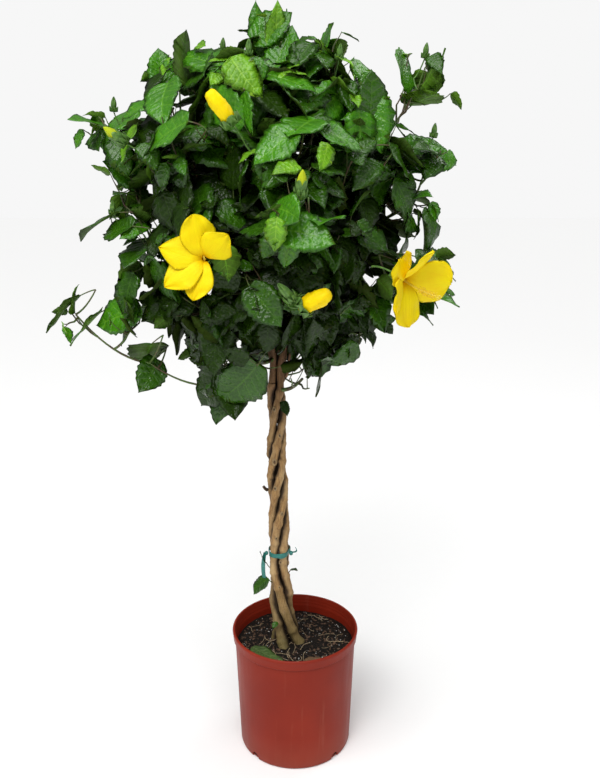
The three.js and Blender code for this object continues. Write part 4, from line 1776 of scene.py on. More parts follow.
    def set_leaf(self, twig: LimbPath, share: float, turn: float, outward: Vector, size: float,
                 upright: float = 0.0) -> None:
        """Set one leaf on a twig.

        Args:
            twig: The twig.
            share: Where along it.
            turn: Degrees round it.
            outward: The way out of the head.
            size: Scale of the leaf.
            upright: How far it leans along its twig.
        """
        chance = self.chance
        joint, along = twig.at(share), twig.heading(share)
        across = along.orthogonal().normalized()
        side = Matrix.Rotation(math.radians(turn), 3, along) @ across
        heading = side * (0.9 - 0.5 * upright) + along * (0.35 + 0.8 * upright) + outward * 0.50
        heading += UP * chance.uniform(-0.15, 0.20)
        heading.normalize()
        facing = UP * 0.55 + outward * chance.uniform(0.35, 1.0)
        facing += Vector((chance.gauss(0, 0.40), chance.gauss(0, 0.40), chance.gauss(0, 0.20)))
        young = max((share - 0.72) / 0.28, 0.0)
        length = size * chance.uniform(*self.leaf_length) * (1 - 0.40 * young)
        self.add_leaf(joint, heading, facing, length, self.tone(joint + heading * 0.03, share))

    def grow_branch(self, node: str, limbs: list[LimbPath]) -> None:
        """Grow a branch from the nearest limb to the heart of a mass.

        Args:
            node: The mass.
            limbs: The limbs so far, to which the branch is added.
        """
        heart, _ = self.room(node)
        limb, number = self.nearest(heart, limbs)
        start = limb.points[number]
        if (start - heart).length > 0.02:
            thick = min(max(limb.radii[number] * 0.8, 0.0024), 0.0042)
            bow = UP * (-0.12 * (heart - start).length)
            branch = bent_path(start, heart, bow, thick, thick * 0.6, 10)
            self.limbs.append(branch)
            limbs.append(branch)

    def grow_mass(self, node: str, limbs: list[LimbPath]) -> None:
        """Grow shoots out through one mass from the limb at its heart.

        Args:
            node: The mass.
            limbs: The limbs it may grow from.
        """
        chance = self.chance
        heart, half = self.room(node)
        limb, _ = self.nearest(heart, limbs)
        volume = half.x * half.y * half.z
        count = max(2, min(8, round(volume ** (1 / 3) / self.shoot_room)))
        outward = heart - self.middle
        outward.z *= 0.7
        outward = outward.normalized() if outward.length > 0.02 else UP
        made = 0
        for way in ways_round(count * 2, chance.uniform(0.0, math.tau)):
            if way.dot(outward) < -0.30 or (way.z < -0.75 and "fringe" not in node) or made >= count + 1:
                continue
            made += 1
            end = in_box(heart, half, way, chance.uniform(0.62, 0.84))
            begin = limb.at(chance.uniform(0.5, 1.0))
            self.grow_shoot(begin, end, 0.0022, 0.22, 1.0 if volume > 1.2e-4 else 0.86)

    def show_leaf(self, spot: Vector, on_shoot: bool) -> PlacedLeaf | None:
        """Choose a large leaf about a place on the outside of the head.

        Args:
            spot: The middle of its blade.
            on_shoot: True on a shoot, whose leaves reach out; False on a tier, whose leaves hang.

        Returns:
            The leaf, or None where it would stick out of the masses or hide something.
        """
        chance = self.chance
        outward = (spot - self.middle).normalized()
        side = outward.cross(UP).normalized() * chance.gauss(0.0, 0.65)
        if outward.z > 0.72:
            heading = UP * 0.8 + side + outward * 0.2
            facing = Vector((chance.gauss(0, 0.6), chance.gauss(-0.3, 0.6), 0.35)) + outward * 0.3
        elif on_shoot:
            heading = side * 0.9 + outward * 0.8 + UP * chance.uniform(-0.35, 0.30)
            facing = UP * 0.7 + Vector((chance.gauss(0, 0.45), chance.gauss(-0.35, 0.45), 0.0))
        else:
            heading = side + outward * 0.38 - UP * chance.uniform(0.05, 0.85)
            facing = outward + UP * chance.uniform(0.15, 0.70)
            facing += Vector((chance.gauss(0, 0.26), chance.gauss(0, 0.26), 0.0))
        heading.normalize()
        length = chance.uniform(*self.show_length) * (0.88 if on_shoot else 1.0)
        for _ in range(3):
            base, tip = spot - heading * (0.5 * length), spot + heading * (0.5 * length)
            if self.within(base) and self.within(tip):
                break
            length *= 0.82
        else:
            return None
        if self.covers(spot, 0.8 * length):
            return None
        tone = self.tone(spot, chance.uniform(0.2, 0.95))
        # large leaves take no darker painted shade than the deep tone
        tone = Tone.DEEP if tone is Tone.SHADE else tone
        return PlacedLeaf(base, tip, length * chance.uniform(*self.show_width), tone, facing,
                          chance.uniform(0.08, 0.20), chance.uniform(0.14, 0.30))

    def grow_show_leaves(self, limbs: list[LimbPath]) -> list[PlacedLeaf]:
        """Set large leaves over the outside of every mass, each on a stalk and a twig.

        Args:
            limbs: The limbs they may grow from.

        Returns:
            The leaves.
        """
        grown = []
        for node in self.masses:
            heart, half = self.room(node)
            count = max(7, round(self.show_density * (half.x * half.y * half.z) ** (2 / 3)))
            on_shoot = self.reaching(node)
            share, least = (0.62, -0.35) if on_shoot else (0.86, 0.25)
            for way in ways_round(count, self.chance.uniform(0.0, math.tau)):
                spot = in_box(heart, half, way, share)
                if way.dot((spot - self.middle).normalized()) < least:
                    continue
                if self.openness(spot) < self.show_depth:
                    continue
                spacing = self.show_spacing * (0.66 if on_shoot else 1.0)
                if any((spot - (leaf.base + leaf.tip) / 2).length < spacing for leaf in grown):
                    continue
                leaf = self.show_leaf(spot, on_shoot)
                if leaf:
                    grown.append(leaf)
                    self.hang(leaf, limbs)
        for leaf in self.leader_spray():
            grown.append(leaf)
            self.hang(leaf, limbs)
        for leaf in grown:
            middle = (leaf.base + leaf.tip) / 2
            outward = (middle - self.middle).normalized()
            self.keep_clear.append((middle, 0.20 * (leaf.tip - leaf.base).length, outward))
        return grown

    def leader_spray(self) -> list[PlacedLeaf]:
        """Return the upright leaves that the leader ends in, set evenly round it."""
        heart, half = self.room("foliage_leader")
        leaves = []
        # the top leaves take bright tones, painted light from above, with one young leaf of new growth
        for number, tone in enumerate((Tone.BRIGHT, Tone.YOUNG, Tone.BRIGHT, Tone.MID)):
            turn = math.radians(200 + 90 * number)
            lean = polar(1.0, turn)
            base = heart + lean * (0.25 * half.x) - UP * (0.25 * half.z)
            tip = base + (UP + lean * 0.30).normalized() * (0.090 - 0.006 * number)
            leaves.append(PlacedLeaf(base, tip, 0.038, tone, lean * 0.7 + Vector((0.2, -0.6, 0.3))))
        return leaves

    def hang(self, leaf: PlacedLeaf, limbs: list[LimbPath]) -> None:
        """Give a large leaf its stalk, and a twig back to the nearest limb."""
        heading = (leaf.tip - leaf.base).normalized()
        inward = (self.middle - leaf.base).normalized()
        joint = leaf.base + (inward * 0.8 - heading * 0.7 - UP * 0.25).normalized() * 0.030
        limb, number = self.nearest(joint, limbs)
        self.stalks.append(bent_path(joint, leaf.base, heading * -0.004, 0.0013, 0.0010, 5))
        self.twigs.append(bent_path(limb.points[number], joint, UP * -0.006, 0.0020, 0.0014, 6))

    @staticmethod
    def blade(leaf: PlacedLeaf, number: int, rows: int = 34, columns: int = 4) -> Body:
        """Return one placed leaf's finely made blade."""
        length = (leaf.tip - leaf.base).length
        chance = random.Random(300 + number)
        shape = LeafShape(width=leaf.width / length, widest=chance.uniform(0.36, 0.44), fold=leaf.fold,
                          curl=leaf.curl, bend=chance.uniform(-0.06, 0.06), wave=0.030, teeth=0.035,
                          veins=7, rows=rows, columns=columns, quilt=0.004, thickness=0.003,
                          phase=chance.random())
        grown = Leaf(leaf.base, leaf.tip - leaf.base, leaf.facing, length / (1 - 0.25 * leaf.curl), leaf.tone)
        return shape.body().moved(grown.place())

    def shapes(self) -> list[Body]:
        """Return the few shapes that the many leaves repeat."""
        chance = random.Random(71)
        bodies = []
        for _ in range(self.shape_count):
            shape = LeafShape(width=chance.uniform(0.62, 0.84), widest=chance.uniform(0.35, 0.45),
                              fold=chance.uniform(0.10, 0.42), curl=chance.uniform(0.08, 0.36),
                              bend=chance.uniform(-0.07, 0.07), wave=chance.uniform(0.01, 0.05),
                              teeth=0.05, phase=chance.random())
            bodies.append(checked(shape.body()))
        return bodies

    def build(self, sweep: LimbSweep, scatter: ShapeScatter, bark: Material,
              green: Material) -> None:
        """Grow the head and make its pieces.

        Args:
            sweep: Sweeps limbs.
            scatter: Places leaves.
            bark: The boughs' material.
            green: The twigs' and stalks' material.
        """
        boughs = self.grow_boughs()
        limbs = list(boughs.values())
        tiers = [name for name in self.masses if name.startswith("foliage_")]
        shoots = [name for name in self.masses if name.startswith("shoot_")]
        for node in tiers + shoots:
            self.grow_branch(node, limbs)
        large = self.grow_show_leaves(limbs)
        log.info("large leaves: %d", len(large))
        for node in tiers + shoots:
            self.grow_mass(node, limbs)
        item = sweep.build("boughs", list(boughs.values()), bark, 12, (0.0016, 70.0, 0.0009), 620.0)
        settle(item, list(boughs))
        settle(sweep.build("branches", self.limbs, green, 8, (0.0006, 120.0, 0.0)))
        settle(sweep.build("twigs", self.twigs, green, 6))
        settle(sweep.build("leaf_stalks", self.stalks, green, 4))
        shapes = ShapeSet("leaf_shape", self.shapes())
        stands_for = self.masses
        for tone, finish in LEAF_FINISHES.items():
            upper, under = finish.material(), finish.material(True)
            places = [(leaf.base, leaf.turn(), leaf.length, leaf.shape)
                      for leaf in self.leaves if leaf.tone is tone]
            item = scatter.build(f"leaves_{tone.value}", places, shapes.collection, upper, under)
            item.data.shade_smooth()
            settle(item, stands_for)
            stands_for = None
            log.info("%s leaves: %d", tone.value, len(places))
            body = Body()
            for number, leaf in enumerate(large):
                if leaf.tone is tone:
                    body.extend(self.blade(leaf, number))
            if body.faces:
                item = checked(body).object(f"large_leaves_{tone.value}", [upper, under])
                settle(item)
        shapes.clear()


def catmull(corners: list[Vector], share: float) -> Vector:
    """Return a point between the middle two of four corners."""
    before, start, end, after = corners
    square, cube = share * share, share * share * share
    return 0.5 * (2 * start + (end - before) * share
                  + (2 * before - 5 * start + 4 * end - after) * square
                  + (3 * start - before - 3 * end + after) * cube)


# ---- flowers


@dataclass(frozen=True)
class PetalRule:
    """One petal: where it lies round the flower, its length and width and how it opens."""

    turn: float
    length: float = 0.078
    width: float = 0.070
    open_to: float = 84.0
    recurve: float = 16.0
    twist: float = 0.16
    point: float = 0.0


@dataclass
class Bloom:
    """An open flower: five overlapping petals, a long column, a calyx and its stalk."""

    name: str
    perch: Perch
    axis: Point
    petals: list[PetalRule]
    joint: Perch
    column: float = 0.058
    anthers: int = 70
    seed: int = 1

    @property
    def throat(self) -> Vector:
        """Return where the petals meet."""
        return self.perch.spot()

    def frame_axes(self) -> tuple[Vector, Vector, Vector]:
        """Return the flower's axis, its upward direction and its right-hand direction."""
        axis = Vector(self.axis).normalized()
        up = (UP - UP.project(axis)).normalized()
        return axis, up, axis.cross(up)

    def petal(self, rule: PetalRule, number: int) -> Body:
        """Make one petal.

        Args:
            rule: Its sizes and how it opens.
            number: Its number in the flower, which seeds its frill.

        Returns:
            A closed thin body.
        """
        axis, up, right = self.frame_axes()
        turn = math.radians(rule.turn)
        out = up * math.cos(turn) + right * math.sin(turn)
        side = axis.cross(out)
        rows, columns = 22, 9
        chance = random.Random(self.seed * 10 + number)
        phase, ripples = chance.uniform(0, math.tau), chance.uniform(2.2, 3.2)
        upper, lower = [], []
        centre = self.throat + out * 0.003 + axis * (0.0012 * (number % 3))
        for row in range(rows + 1):
            along = row / rows
            ease = min(along / 0.42, 1.0)
            lean = math.radians(14 + (rule.open_to - 14) * ease * ease * (3 - 2 * ease)
                                + rule.recurve * max(along - 0.45, 0.0) / 0.55)
            ahead = axis * math.cos(lean) + out * math.sin(lean)
            normal = axis * math.sin(lean) - out * math.cos(lean)
            if row:
                centre = centre + ahead * (rule.length / rows)
            if along < 0.60:
                half = 0.5 * rule.width * (0.17 + 0.83 * math.sin(math.pi / 2 * along / 0.60) ** 1.25)
            else:
                past = (along - 0.60) / 0.403
                round_end = max(1 - past ** 2.3, 0.0) ** (1 / 2.1)
                pointed_end = max(1 - past ** 1.25, 0.0)
                half = 0.5 * rule.width * (round_end + (pointed_end - round_end) * rule.point)
            line_up, line_down = [], []
            for step in range(-columns, columns + 1):
                across = step / columns
                frill = 0.0036 * along ** 2 * abs(across) ** 1.5 * math.sin(ripples * math.tau * along
                                                                         + phase + 2.6 * across)
                frill += 0.0016 * along ** 3 * math.sin(7.0 * across + phase)
                rib = 0.0005 * math.cos(math.pi * 7 * across) * min(along * 3, 1.0) * (1 - along)
                lift = frill + rib + rule.twist * across * half - 0.12 * across * across * half
                reach = 1 - 0.03 * math.cos(3 * math.pi * across + phase) * along ** 3
                spot = centre + side * (across * half * reach) + normal * lift
                line_up.append(spot)
                line_down.append(spot - normal * (0.0006 * (1 - across * across) + 0.00002))
            upper.append(line_up)
            lower.append(line_down)
        return two_sided(upper, lower)

    def stalk_and_calyx(self) -> tuple[Body, list[LimbPath]]:
        """Return the calyx with its bracts, and the paths of the flower's stalk."""
        axis, up, right = self.frame_axes()
        turn = Matrix((right, up, axis)).transposed().to_4x4()
        foot = self.throat - axis * 0.020
        place = Matrix.Translation(foot) @ turn
        cup = calyx_body(0.0075, 0.026, 5, 0.55).moved(place)
        cup.extend(calyx_body(0.0092, 0.013, 7, 0.10).moved(place))
        end = self.joint.spot()
        bow = (foot - axis * 0.02) - foot.lerp(end, 0.3)
        return cup, [bent_path(end, foot, bow * 0.55, 0.0016, 0.0014, 12)]

    def column_parts(self) -> tuple[LimbPath, Body, Body]:
        """Return the column's path, its anthers and its stigma pads."""
        axis, up, _ = self.frame_axes()
        start = self.throat
        tip = start + axis * self.column + up * 0.004
        path = bent_path(start, tip, up * -0.003, 0.0021, 0.0011, 12)
        chance = random.Random(self.seed + 90)
        anthers, pads = Body(), Body()
        for number in range(self.anthers):
            share = 0.52 + 0.44 * number / self.anthers
            root = path.at(share)
            way = Matrix.Rotation(number * 2.4, 3, axis) @ up
            way = (way + axis * chance.uniform(0.1, 0.6)).normalized()
            head = root + way * chance.uniform(0.0030, 0.0062)
            grain = disc_stack([(0.5, -0.7), (1.0, -0.1), (0.55, 0.6)], 5, 0.00115)
            anthers.extend(grain.moved(Matrix.Translation(head)))
            thread = disc_stack([(0.22, 0.0), (0.18, 1.0)], 3, 1.0)
            size = Matrix.Diagonal((0.0012, 0.0012, (head - root).length, 1.0))
            anthers.extend(thread.moved(standing(root, way) @ size))
        for number in range(5):
            way = (Matrix.Rotation(math.tau * number / 5, 3, axis) @ up * 0.7 + axis).normalized()
            end = tip + way * 0.0065
            pad = disc_stack([(0.6, -0.6), (1.0, 0.0), (0.6, 0.6)], 8, 0.0017)
            pads.extend(pad.moved(Matrix.Translation(end)))
            thread = disc_stack([(0.3, 0.0), (0.25, 1.0)], 4, 1.0)
            size = Matrix.Diagonal((0.0016, 0.0016, 0.0065, 1.0))
            pads.extend(thread.moved(standing(tip - axis * 0.001, way) @ size))
        return path, anthers, pads


def two_sided(upper: list[list[Vector]], lower: list[list[Vector]]) -> Body:
    """Join two grids of points into one closed thin body with a leaf map.

    Args:
        upper: Rows of points of the upper side, from the base to the tip.
        lower: The same for the lower side.

    Returns:
        The body.
    """
    body = Body()
    rows, wide = len(upper), len(upper[0])
    body.vertices = [spot for line in upper for spot in line] + [spot for line in lower for spot in line]
    second = rows * wide
    for row in range(rows - 1):
        low, high = row / (rows - 1), (row + 1) / (rows - 1)
        for step in range(wide - 1):
            left, right = step / (wide - 1), (step + 1) / (wide - 1)
            own = [(left, low), (left, high), (right, high), (right, low)]
            first = row * wide + step
            body.face((first, first + wide, first + wide + 1, first + 1), own)
            first += second
            body.face((first + 1, first + wide + 1, first + wide, first), list(reversed(own)), True)
    edge = [row * wide for row in range(rows)]
    edge += [(rows - 1) * wide + step for step in range(1, wide)]
    edge += [row * wide + wide - 1 for row in range(rows - 2, -1, -1)]
    edge += [step for step in range(wide - 2, 0, -1)]
    for here, there in zip(edge, edge[1:] + edge[:1]):
        body.face((here, there, there + second, here + second), [(0.5, 0.9)] * 4)
    return body


def calyx_body(radius: float, length: float, lobes: int, joined: float, closed: float = 0.0) -> Body:
    """Make a green cup of pointed lobes round the Z axis.

    Args:
        radius: The cup's radius.
        length: Its length to the tips.
        lobes: Number of lobes.
        joined: Share of the length over which they are joined.
        closed: How far the tips draw together, up to 1.

    Returns:
        A closed body.
    """
    sides, rows = lobes * 6, 8
    upper, lower = [], []
    for row in range(rows + 1):
        along = row / rows
        out, inside = [], []
        for step in range(sides + 1):
            turn = math.tau * step / sides
            point = 1 - abs(math.cos(turn * lobes / 2)) ** 0.7
            reach = joined + (1 - joined) * (1 - point)
            height = length * along * reach
            swell = radius * (0.30 + 0.70 * math.sin(min(along * 1.5, 1.0) * math.pi / 2))
            swell += 0.10 * radius * along * along * reach
            swell *= 1 - closed * along ** 3
            out.append(polar(swell, turn, height))
            inside.append(polar(max(swell - 0.0009, 0.4 * swell), turn, height + 0.0002))
        upper.append(inside)
        lower.append(out)
    return two_sided(upper, lower)


@dataclass(frozen=True)
class Bud:
    """A flower bud: where it sits, the way it points, its size and how far it has come."""

    perch: Perch
    lean: Point
    length: float
    radius: float
    kind: BudKind

    @property
    def foot(self) -> Vector:
        """Return where it sits on its stalk."""
        return self.perch.spot()

    @property
    def tip(self) -> Vector:
        """Return its tip."""
        return self.foot + Vector(self.lean).normalized() * self.length

    def petals(self) -> Body:
        """Return the furled petals, wound round each other."""
        rings, rows, sides = [], 18, 20
        hidden = self.kind is BudKind.GREEN
        length, radius = self.length * (0.70 if hidden else 1.0), self.radius * (0.70 if hidden else 1.0)
        for row in range(rows + 1):
            along = row / rows
            plain = radius * math.sin(math.pi * (0.10 + 0.90 * along)) ** 0.72
            if along > 0.6 and self.kind is BudKind.ROLLED:
                plain = radius * (0.62 + 0.38 * math.cos(math.pi * (along - 0.6) / 0.8))
                plain *= 1.0 if along < 0.97 else 0.7
            rings.append([])
            for side in range(sides):
                turn = math.tau * side / sides
                wound = (turn * 5 / math.tau + 1.5 * along) % 1.0
                rings[-1].append(polar(plain * (0.86 + 0.20 * wound), turn, along * length))
        body = Body()
        body.skin(rings, drape=0.3)  # past the map's deeper gold throat, which is partly painted shade
        return body.moved(self.place())

    def place(self) -> Matrix:
        """Return the matrix that stands a bud at its foot along its axis."""
        return standing(self.foot, Vector(self.lean))

    def calyx(self) -> Body:
        """Return the green cup and its ring of bracts."""
        length = self.length
        share = {BudKind.GREEN: 1.04, BudKind.SHOWING: 0.66, BudKind.ROLLED: 0.26}[self.kind]
        closed = 0.85 if self.kind is BudKind.GREEN else 0.0
        cup = calyx_body(self.radius * 1.02, length * share, 5, 0.72, closed)
        cup.extend(calyx_body(self.radius * 1.25, length * min(share, 0.36), 8, 0.08))
        return cup.moved(self.place())


BLOOMS = [
    Bloom("left_bloom", Perch("foliage_middle_1", -0.15, -1.4, -0.45), (-0.04, -0.98, 0.16), [
        PetalRule(76.0, 0.074, 0.052, 84.0, 4.0, 0.20, 0.85),
        PetalRule(12.0, 0.072, 0.054, 80.0, 4.0, 0.26, 0.35),
        PetalRule(-48.0, 0.060, 0.052, 66.0, 16.0, 0.34, 0.8),
        PetalRule(166.0, 0.070, 0.050, 82.0, 6.0, 0.22, 0.60),
        PetalRule(126.0, 0.078, 0.052, 84.0, 4.0, 0.26, 0.75),
    ], Perch("foliage_middle_1", -0.1, -0.6, -0.6), column=0.010, seed=1),
    Bloom("right_bloom", Perch("foliage_middle_2", 1.4, -0.9, -0.65), (0.66, -0.66, -0.34), [
        PetalRule(8.0, 0.084, 0.058, 62.0, 6.0, 0.15, 0.85),
        PetalRule(-84.0, 0.080, 0.080, 54.0, 6.0, 0.10),
        PetalRule(178.0, 0.078, 0.060, 62.0, 8.0, 0.10, 0.15),
        PetalRule(112.0, 0.070, 0.056, 56.0, 6.0, 0.10, 0.2),
        PetalRule(46.0, 0.068, 0.058, 84.0, 10.0, 0.20, 0.2),
    ], Perch("foliage_middle_2", 0.9, -0.5, -0.5), column=0.072, seed=2),
]
BUDS = [
    Bud(Perch("foliage_shoulder_1", 0.9, -1.25, 0.3), (-0.6, -0.15, 0.8), 0.060, 0.0125, BudKind.ROLLED),
    Bud(Perch("foliage_lower_2", 0.4, -1.4, 0.1), (0.9, -0.3, 0.5), 0.055, 0.0145, BudKind.ROLLED),
    Bud(Perch("foliage_shoulder_1", -0.8, -0.2, 0.0), (-0.8, -0.2, 0.6), 0.045, 0.0090, BudKind.SHOWING),
    Bud(Perch("shoot_front", 0.0, -0.2, 0.5), (0.1, -0.2, 1.0), 0.042, 0.0080, BudKind.SHOWING),
    Bud(Perch("foliage_lower_2", 0.3, -1.5, 0.3), (-0.6, -0.4, 0.7), 0.038, 0.0078, BudKind.GREEN),
    Bud(Perch("foliage_shoulder_5", 0.5, 1.1, 0.6), (-0.2, 0.6, 0.8), 0.045, 0.0110, BudKind.ROLLED),
    Bud(Perch("foliage_shoulder_4", 0.8, 0.7, 0.2), (0.6, 0.5, 0.6), 0.038, 0.0085, BudKind.SHOWING),
]
TIP_BUDS = [  # each high mass ends in a small green bud
    Bud(Perch(node, 0.1, -0.3, 0.8), (0.1, -0.2, 1.0), 0.024, 0.0056, BudKind.GREEN)
    for node in sorted(frame["nodes"]) if node.startswith(("foliage_crest", "shoot_upper", "shoot_wing"))
]


@dataclass
class Blossom:
    """All the open flowers and buds."""

    head: LeafyHead

    def reserve(self) -> None:
        """Keep the space in front of the flowers free of leaves."""
        for bloom in BLOOMS:
            self.clear(bloom.throat + Vector(bloom.axis).normalized() * 0.02, 0.062)
        for bud in BUDS:
            self.clear((bud.foot + bud.tip) / 2, 0.014)

    def clear(self, place: Vector, radius: float) -> None:
        """Keep leaves from hiding a place from the front, or from the rear if it lies there."""
        way = Vector(self.head.front) - place if place.y < 0 else Vector((0.0, 1.0, 0.0))
        self.head.keep_clear.append((place, radius, way.normalized()))

    def build(self, sweep: LimbSweep) -> None:
        """Make the flowers and the buds."""
        petal = Petal().material()
        half_open = Petal("bud_petal", (0.32, 0.42, 0.010), (0.20, 0.34, 0.010), (0.46, 0.54, 0.016))
        green = Flecked("calyx_green", (0.045, 0.125, 0.016), (0.13, 0.27, 0.04), 160.0, 0.0004, 0.5)
        half_open, green = half_open.material(), green.material()
        pollen = Flecked("pollen", (0.75, 0.45, 0.01), (0.9, 0.68, 0.05), 900.0, 0.0003).material()
        column = Flecked("column", (0.70, 0.52, 0.03), (0.85, 0.70, 0.10), 300.0, 0.0003, 0.5).material()
        stalks, columns = [], []
        cups, anthers, pads = Body(), Body(), Body()
        for bloom in BLOOMS:
            body = Body()
            for number, rule in enumerate(bloom.petals):
                body.extend(bloom.petal(rule, number))
            settle(checked(body).object(f"{bloom.name}_petals", [petal]))
            cup, stalk = bloom.stalk_and_calyx()
            path, anther, pad = bloom.column_parts()
            cups.extend(cup)
            stalks += stalk
            columns.append(path)
            if bloom.column > 0.02:
                anthers.extend(anther)
                pads.extend(pad)
        showing, rolled = Body(), Body()
        for bud in BUDS + TIP_BUDS:
            if bud.kind is BudKind.ROLLED:
                rolled.extend(bud.petals())
            else:
                showing.extend(bud.petals())
            cups.extend(bud.calyx())
            foot = bud.foot
            way = (foot - bud.tip).normalized()
            inward = (self.head.middle - foot).normalized()
            joint = foot + way * 0.016 + inward * 0.022
            stalks.append(bent_path(joint, foot, way * 0.006, 0.0013, 0.0011, 6))
            limb, number = self.head.nearest(joint, self.head.limbs + self.head.twigs)
            stalks.append(bent_path(limb.points[number], joint, UP * -0.004, 0.0015, 0.0013, 6))
        settle(checked(rolled).object("rolled_bud_petals", [petal]))
        settle(checked(showing).object("showing_bud_petals", [half_open]))
        settle(checked(cups).object("calyx_cups", [green]))
        settle(checked(anthers).object("anthers", [pollen]))
        settle(checked(pads).object("stigma_pads", [column]))
        settle(sweep.build("flower_columns", columns, column, 10))
        settle(sweep.build("flower_stalks", stalks, green, 8))


@dataclass
class TrunkLeaves:
    """The small leaves that sprout from the trunk, and the fallen ones on the mix."""

    trunk: PlaitedTrunk
    mix: PottingMix

    # height, way out from the plait, length, width as a share of it, tone
    SPROUTS = [
        (0.37, (-1.0, -0.5, -0.7), 0.042, 0.95, Tone.MID),
        (0.28, (-0.5, -0.9, -0.4), 0.016, 0.80, Tone.MID),
        (0.40, (-1.0, -0.3, 1.6), 0.032, 0.60, Tone.DEEP),
        (0.39, (1.0, -0.6, 0.3), 0.016, 0.70, Tone.DEEP),
        (0.74, (0.5, -0.8, -1.0), 0.030, 0.65, Tone.DEEP),
    ]

    def sprouts(self) -> list[PlacedLeaf]:
        """Return the leaves that sprout from the trunk."""
        leaves = []
        for height, way, length, share, tone in self.SPROUTS:
            way = Vector(way).normalized()
            flat = Vector((way.x, way.y, 0.0)).normalized()
            base = Vector((self.trunk.axis_x(height), 0.0, height)) + flat * (3 * self.trunk.radius(height))
            leaves.append(PlacedLeaf(base, base + way * length, length * share, tone, flat + UP * 0.5))
        return leaves

    def fallen(self, turn: float, far: float, heading: float, length: float, curl: float) -> PlacedLeaf:
        """Return a leaf that lies on the mix.

        Args:
            turn: Degrees round the pot.
            far: How far out, as a share of the mix's radius.
            heading: Degrees its tip points to.
            length: Its length.
            curl: How much its tip curls.

        Returns:
            The leaf.
        """
        middle = polar(far * self.mix.pot.inner(self.mix.top), math.radians(turn))
        way = polar(1.0, math.radians(heading))
        ends = [middle - way * (length / 2), middle + way * (length / 2)]
        for end in ends:
            end.z = self.mix.level(end.x, end.y) + 0.004
        return PlacedLeaf(ends[0], ends[1], 0.42 * length, Tone.MID, UP, curl, 0.1)

    def build(self, sweep: LimbSweep) -> None:
        """Make the sprouts with their stalks, and the two fallen leaves."""
        paths, sprouts = [], self.sprouts()
        for tone in (Tone.MID, Tone.DEEP):
            body = Body()
            for number, leaf in enumerate(sprouts):
                if leaf.tone is tone:
                    body.extend(LeafyHead.blade(leaf, number, 20, 3))
            finish = LEAF_FINISHES[tone]
            sides = [finish.material(), finish.material(True)]
            settle(checked(body).object(f"trunk_leaves_{tone.value}", sides))
        for leaf in sprouts:
            base = leaf.base
            root = Vector((self.trunk.axis_x(base.z) + 0.4 * (base.x - self.trunk.axis_x(base.z)), 0.0,
                           base.z - 0.012))
            paths.append(bent_path(root, base, Vector((0.0, -0.004, -0.004)), 0.0013, 0.0008, 6))
        green = GreenStem("sprout_stem").material()
        settle(sweep.build("sprout_stalks", paths, green, 6))
        fresh = LeafFinish("fallen", (0.055, 0.105, 0.02), (0.10, 0.14, 0.05), (0.15, 0.22, 0.06), 0.5)
        dry = LeafFinish("dry", (0.13, 0.07, 0.03), (0.18, 0.11, 0.06), (0.22, 0.14, 0.07), 0.7)
        leaves = (self.fallen(225.0, 0.62, -36.0, 0.085, 0.05), self.fallen(300.0, 0.66, 20.0, 0.042, 0.12))
        for leaf, finish, name in zip(leaves, (fresh, dry), ("fallen_leaf", "dry_leaf")):
            body = checked(LeafyHead.blade(leaf, 40, 20, 3))
            settle(body.object(name, [finish.material(), finish.material(True)]))


# ---- studio


@dataclass(frozen=True)
class SoftBox:
    """One soft light panel."""

    name: str
    at: Point
    aim: Point
    size: tuple[float, float]
    power: float


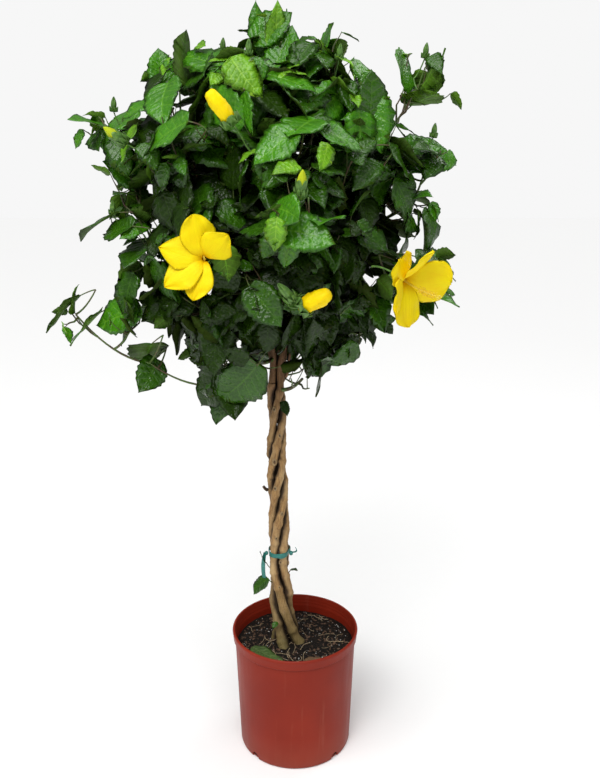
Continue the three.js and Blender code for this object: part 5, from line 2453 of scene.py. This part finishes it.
@dataclass
class Studio:
    """A pale floor, an even pale room, soft panels and the camera."""

    camera_at: Point = (0.010, -1.524, 1.2095)
    pitch: float = 16.5
    lens: float = 39.33
    room: float = 0.24
    seen: float = 0.93
    sky: float = 2.6
    sky_angle: float = 60.0
    sky_way: Point = (0.18, 0.42, -1.0)
    floor: float = 12.0
    panels: tuple[SoftBox, ...] = (
        SoftBox("key_panel", (-0.7, -1.9, 2.7), (-0.03, 0.0, 1.05), (1.1, 0.9), 24.0),
        SoftBox("rim_panel", (1.2, 0.9, 2.4), (0.0, 0.0, 1.1), (1.0, 1.0), 10.0),
    )

    def build(self) -> None:
        """Make the floor, the room, the lights and the camera."""
        scene = bpy.context.scene
        scene.view_settings.view_transform = "Standard"
        scene.view_settings.look = "None"
        body = Body()
        far = self.floor
        corner_spots = ((-far, -far), (far, -far), (far, far), (-far, far))
        body.vertices = [Vector((x, y, -0.0004)) for x, y in corner_spots]
        body.face((0, 1, 2, 3), [(0, 0), (1, 0), (1, 1), (0, 1)])
        floor = body.object("pale_floor", [StudioPaper().material()])
        floor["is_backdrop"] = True
        world = bpy.data.worlds.new("pale_room")
        world.use_nodes = True
        graph = Graph(world.node_tree)
        light = world.node_tree.nodes["Background"]
        light.inputs["Strength"].default_value = self.room
        light.inputs["Color"].default_value = (1.0, 1.0, 1.0, 1.0)
        seen = graph.add("ShaderNodeBackground", {0: (1.0, 1.0, 1.0, 1.0), 1: self.seen})
        straight = graph.add("ShaderNodeLightPath").outputs[0]
        mixed = graph.add("ShaderNodeMixShader", {0: straight, 1: light.outputs[0], 2: seen.outputs[0]})
        graph.tree.links.new(mixed.outputs[0], world.node_tree.nodes["World Output"].inputs[0])
        scene.world = world
        sun = bpy.data.lights.new("overhead_sky", "SUN")
        sun.energy, sun.angle = self.sky, math.radians(self.sky_angle)
        item = bpy.data.objects.new("overhead_sky", sun)
        item.rotation_euler = Vector(self.sky_way).to_track_quat("-Z", "Y").to_euler()
        scene.collection.objects.link(item)
        for panel in self.panels:
            light = bpy.data.lights.new(panel.name, "AREA")
            light.shape, light.energy = "RECTANGLE", panel.power
            light.size, light.size_y = panel.size
            item = bpy.data.objects.new(panel.name, light)
            item.location = panel.at
            way = Vector(panel.aim) - Vector(panel.at)
            item.rotation_euler = way.to_track_quat("-Z", "Y").to_euler()
            scene.collection.objects.link(item)
        camera = bpy.data.cameras.new("camera")
        camera.lens, camera.sensor_width = self.lens, 36.0
        camera.clip_start = 0.05
        item = bpy.data.objects.new("camera", camera)
        item.location = self.camera_at
        item.rotation_euler = (math.radians(90.0 - self.pitch), 0.0, 0.0)
        scene.collection.objects.link(item)
        scene.camera = item


def corners(pair: tuple) -> list[list[float]]:
    """Return a box's two corners as plain lists."""
    return [[float(part) for part in corner] for corner in pair]


def main() -> None:
    """Build the studio, then the plant from the pot upward, and work out the bounds of the CAD and of the
    finished scene.
    """
    logging.basicConfig(level=logging.INFO, format="%(name)s %(message)s")
    cad_box = corners(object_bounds())
    sweep, scatter = LimbSweep(), ShapeScatter()
    bark, green = Bark().material(), GreenStem().material()
    Studio().build()
    pot = NurseryPot()
    pot.build()
    mix = PottingMix(pot)
    mix.build(sweep, scatter)
    trunk = PlaitedTrunk()
    trunk.build(sweep, bark)
    PlantTie(trunk).build()
    head = LeafyHead(trunk)
    blossom = Blossom(head)
    blossom.reserve()
    head.build(sweep, scatter, bark, green)
    blossom.build(sweep)
    TrunkLeaves(trunk, mix).build(sweep)
    {"cad": cad_box, "visual": corners(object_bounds())}


if __name__ == "__main__":
    main()
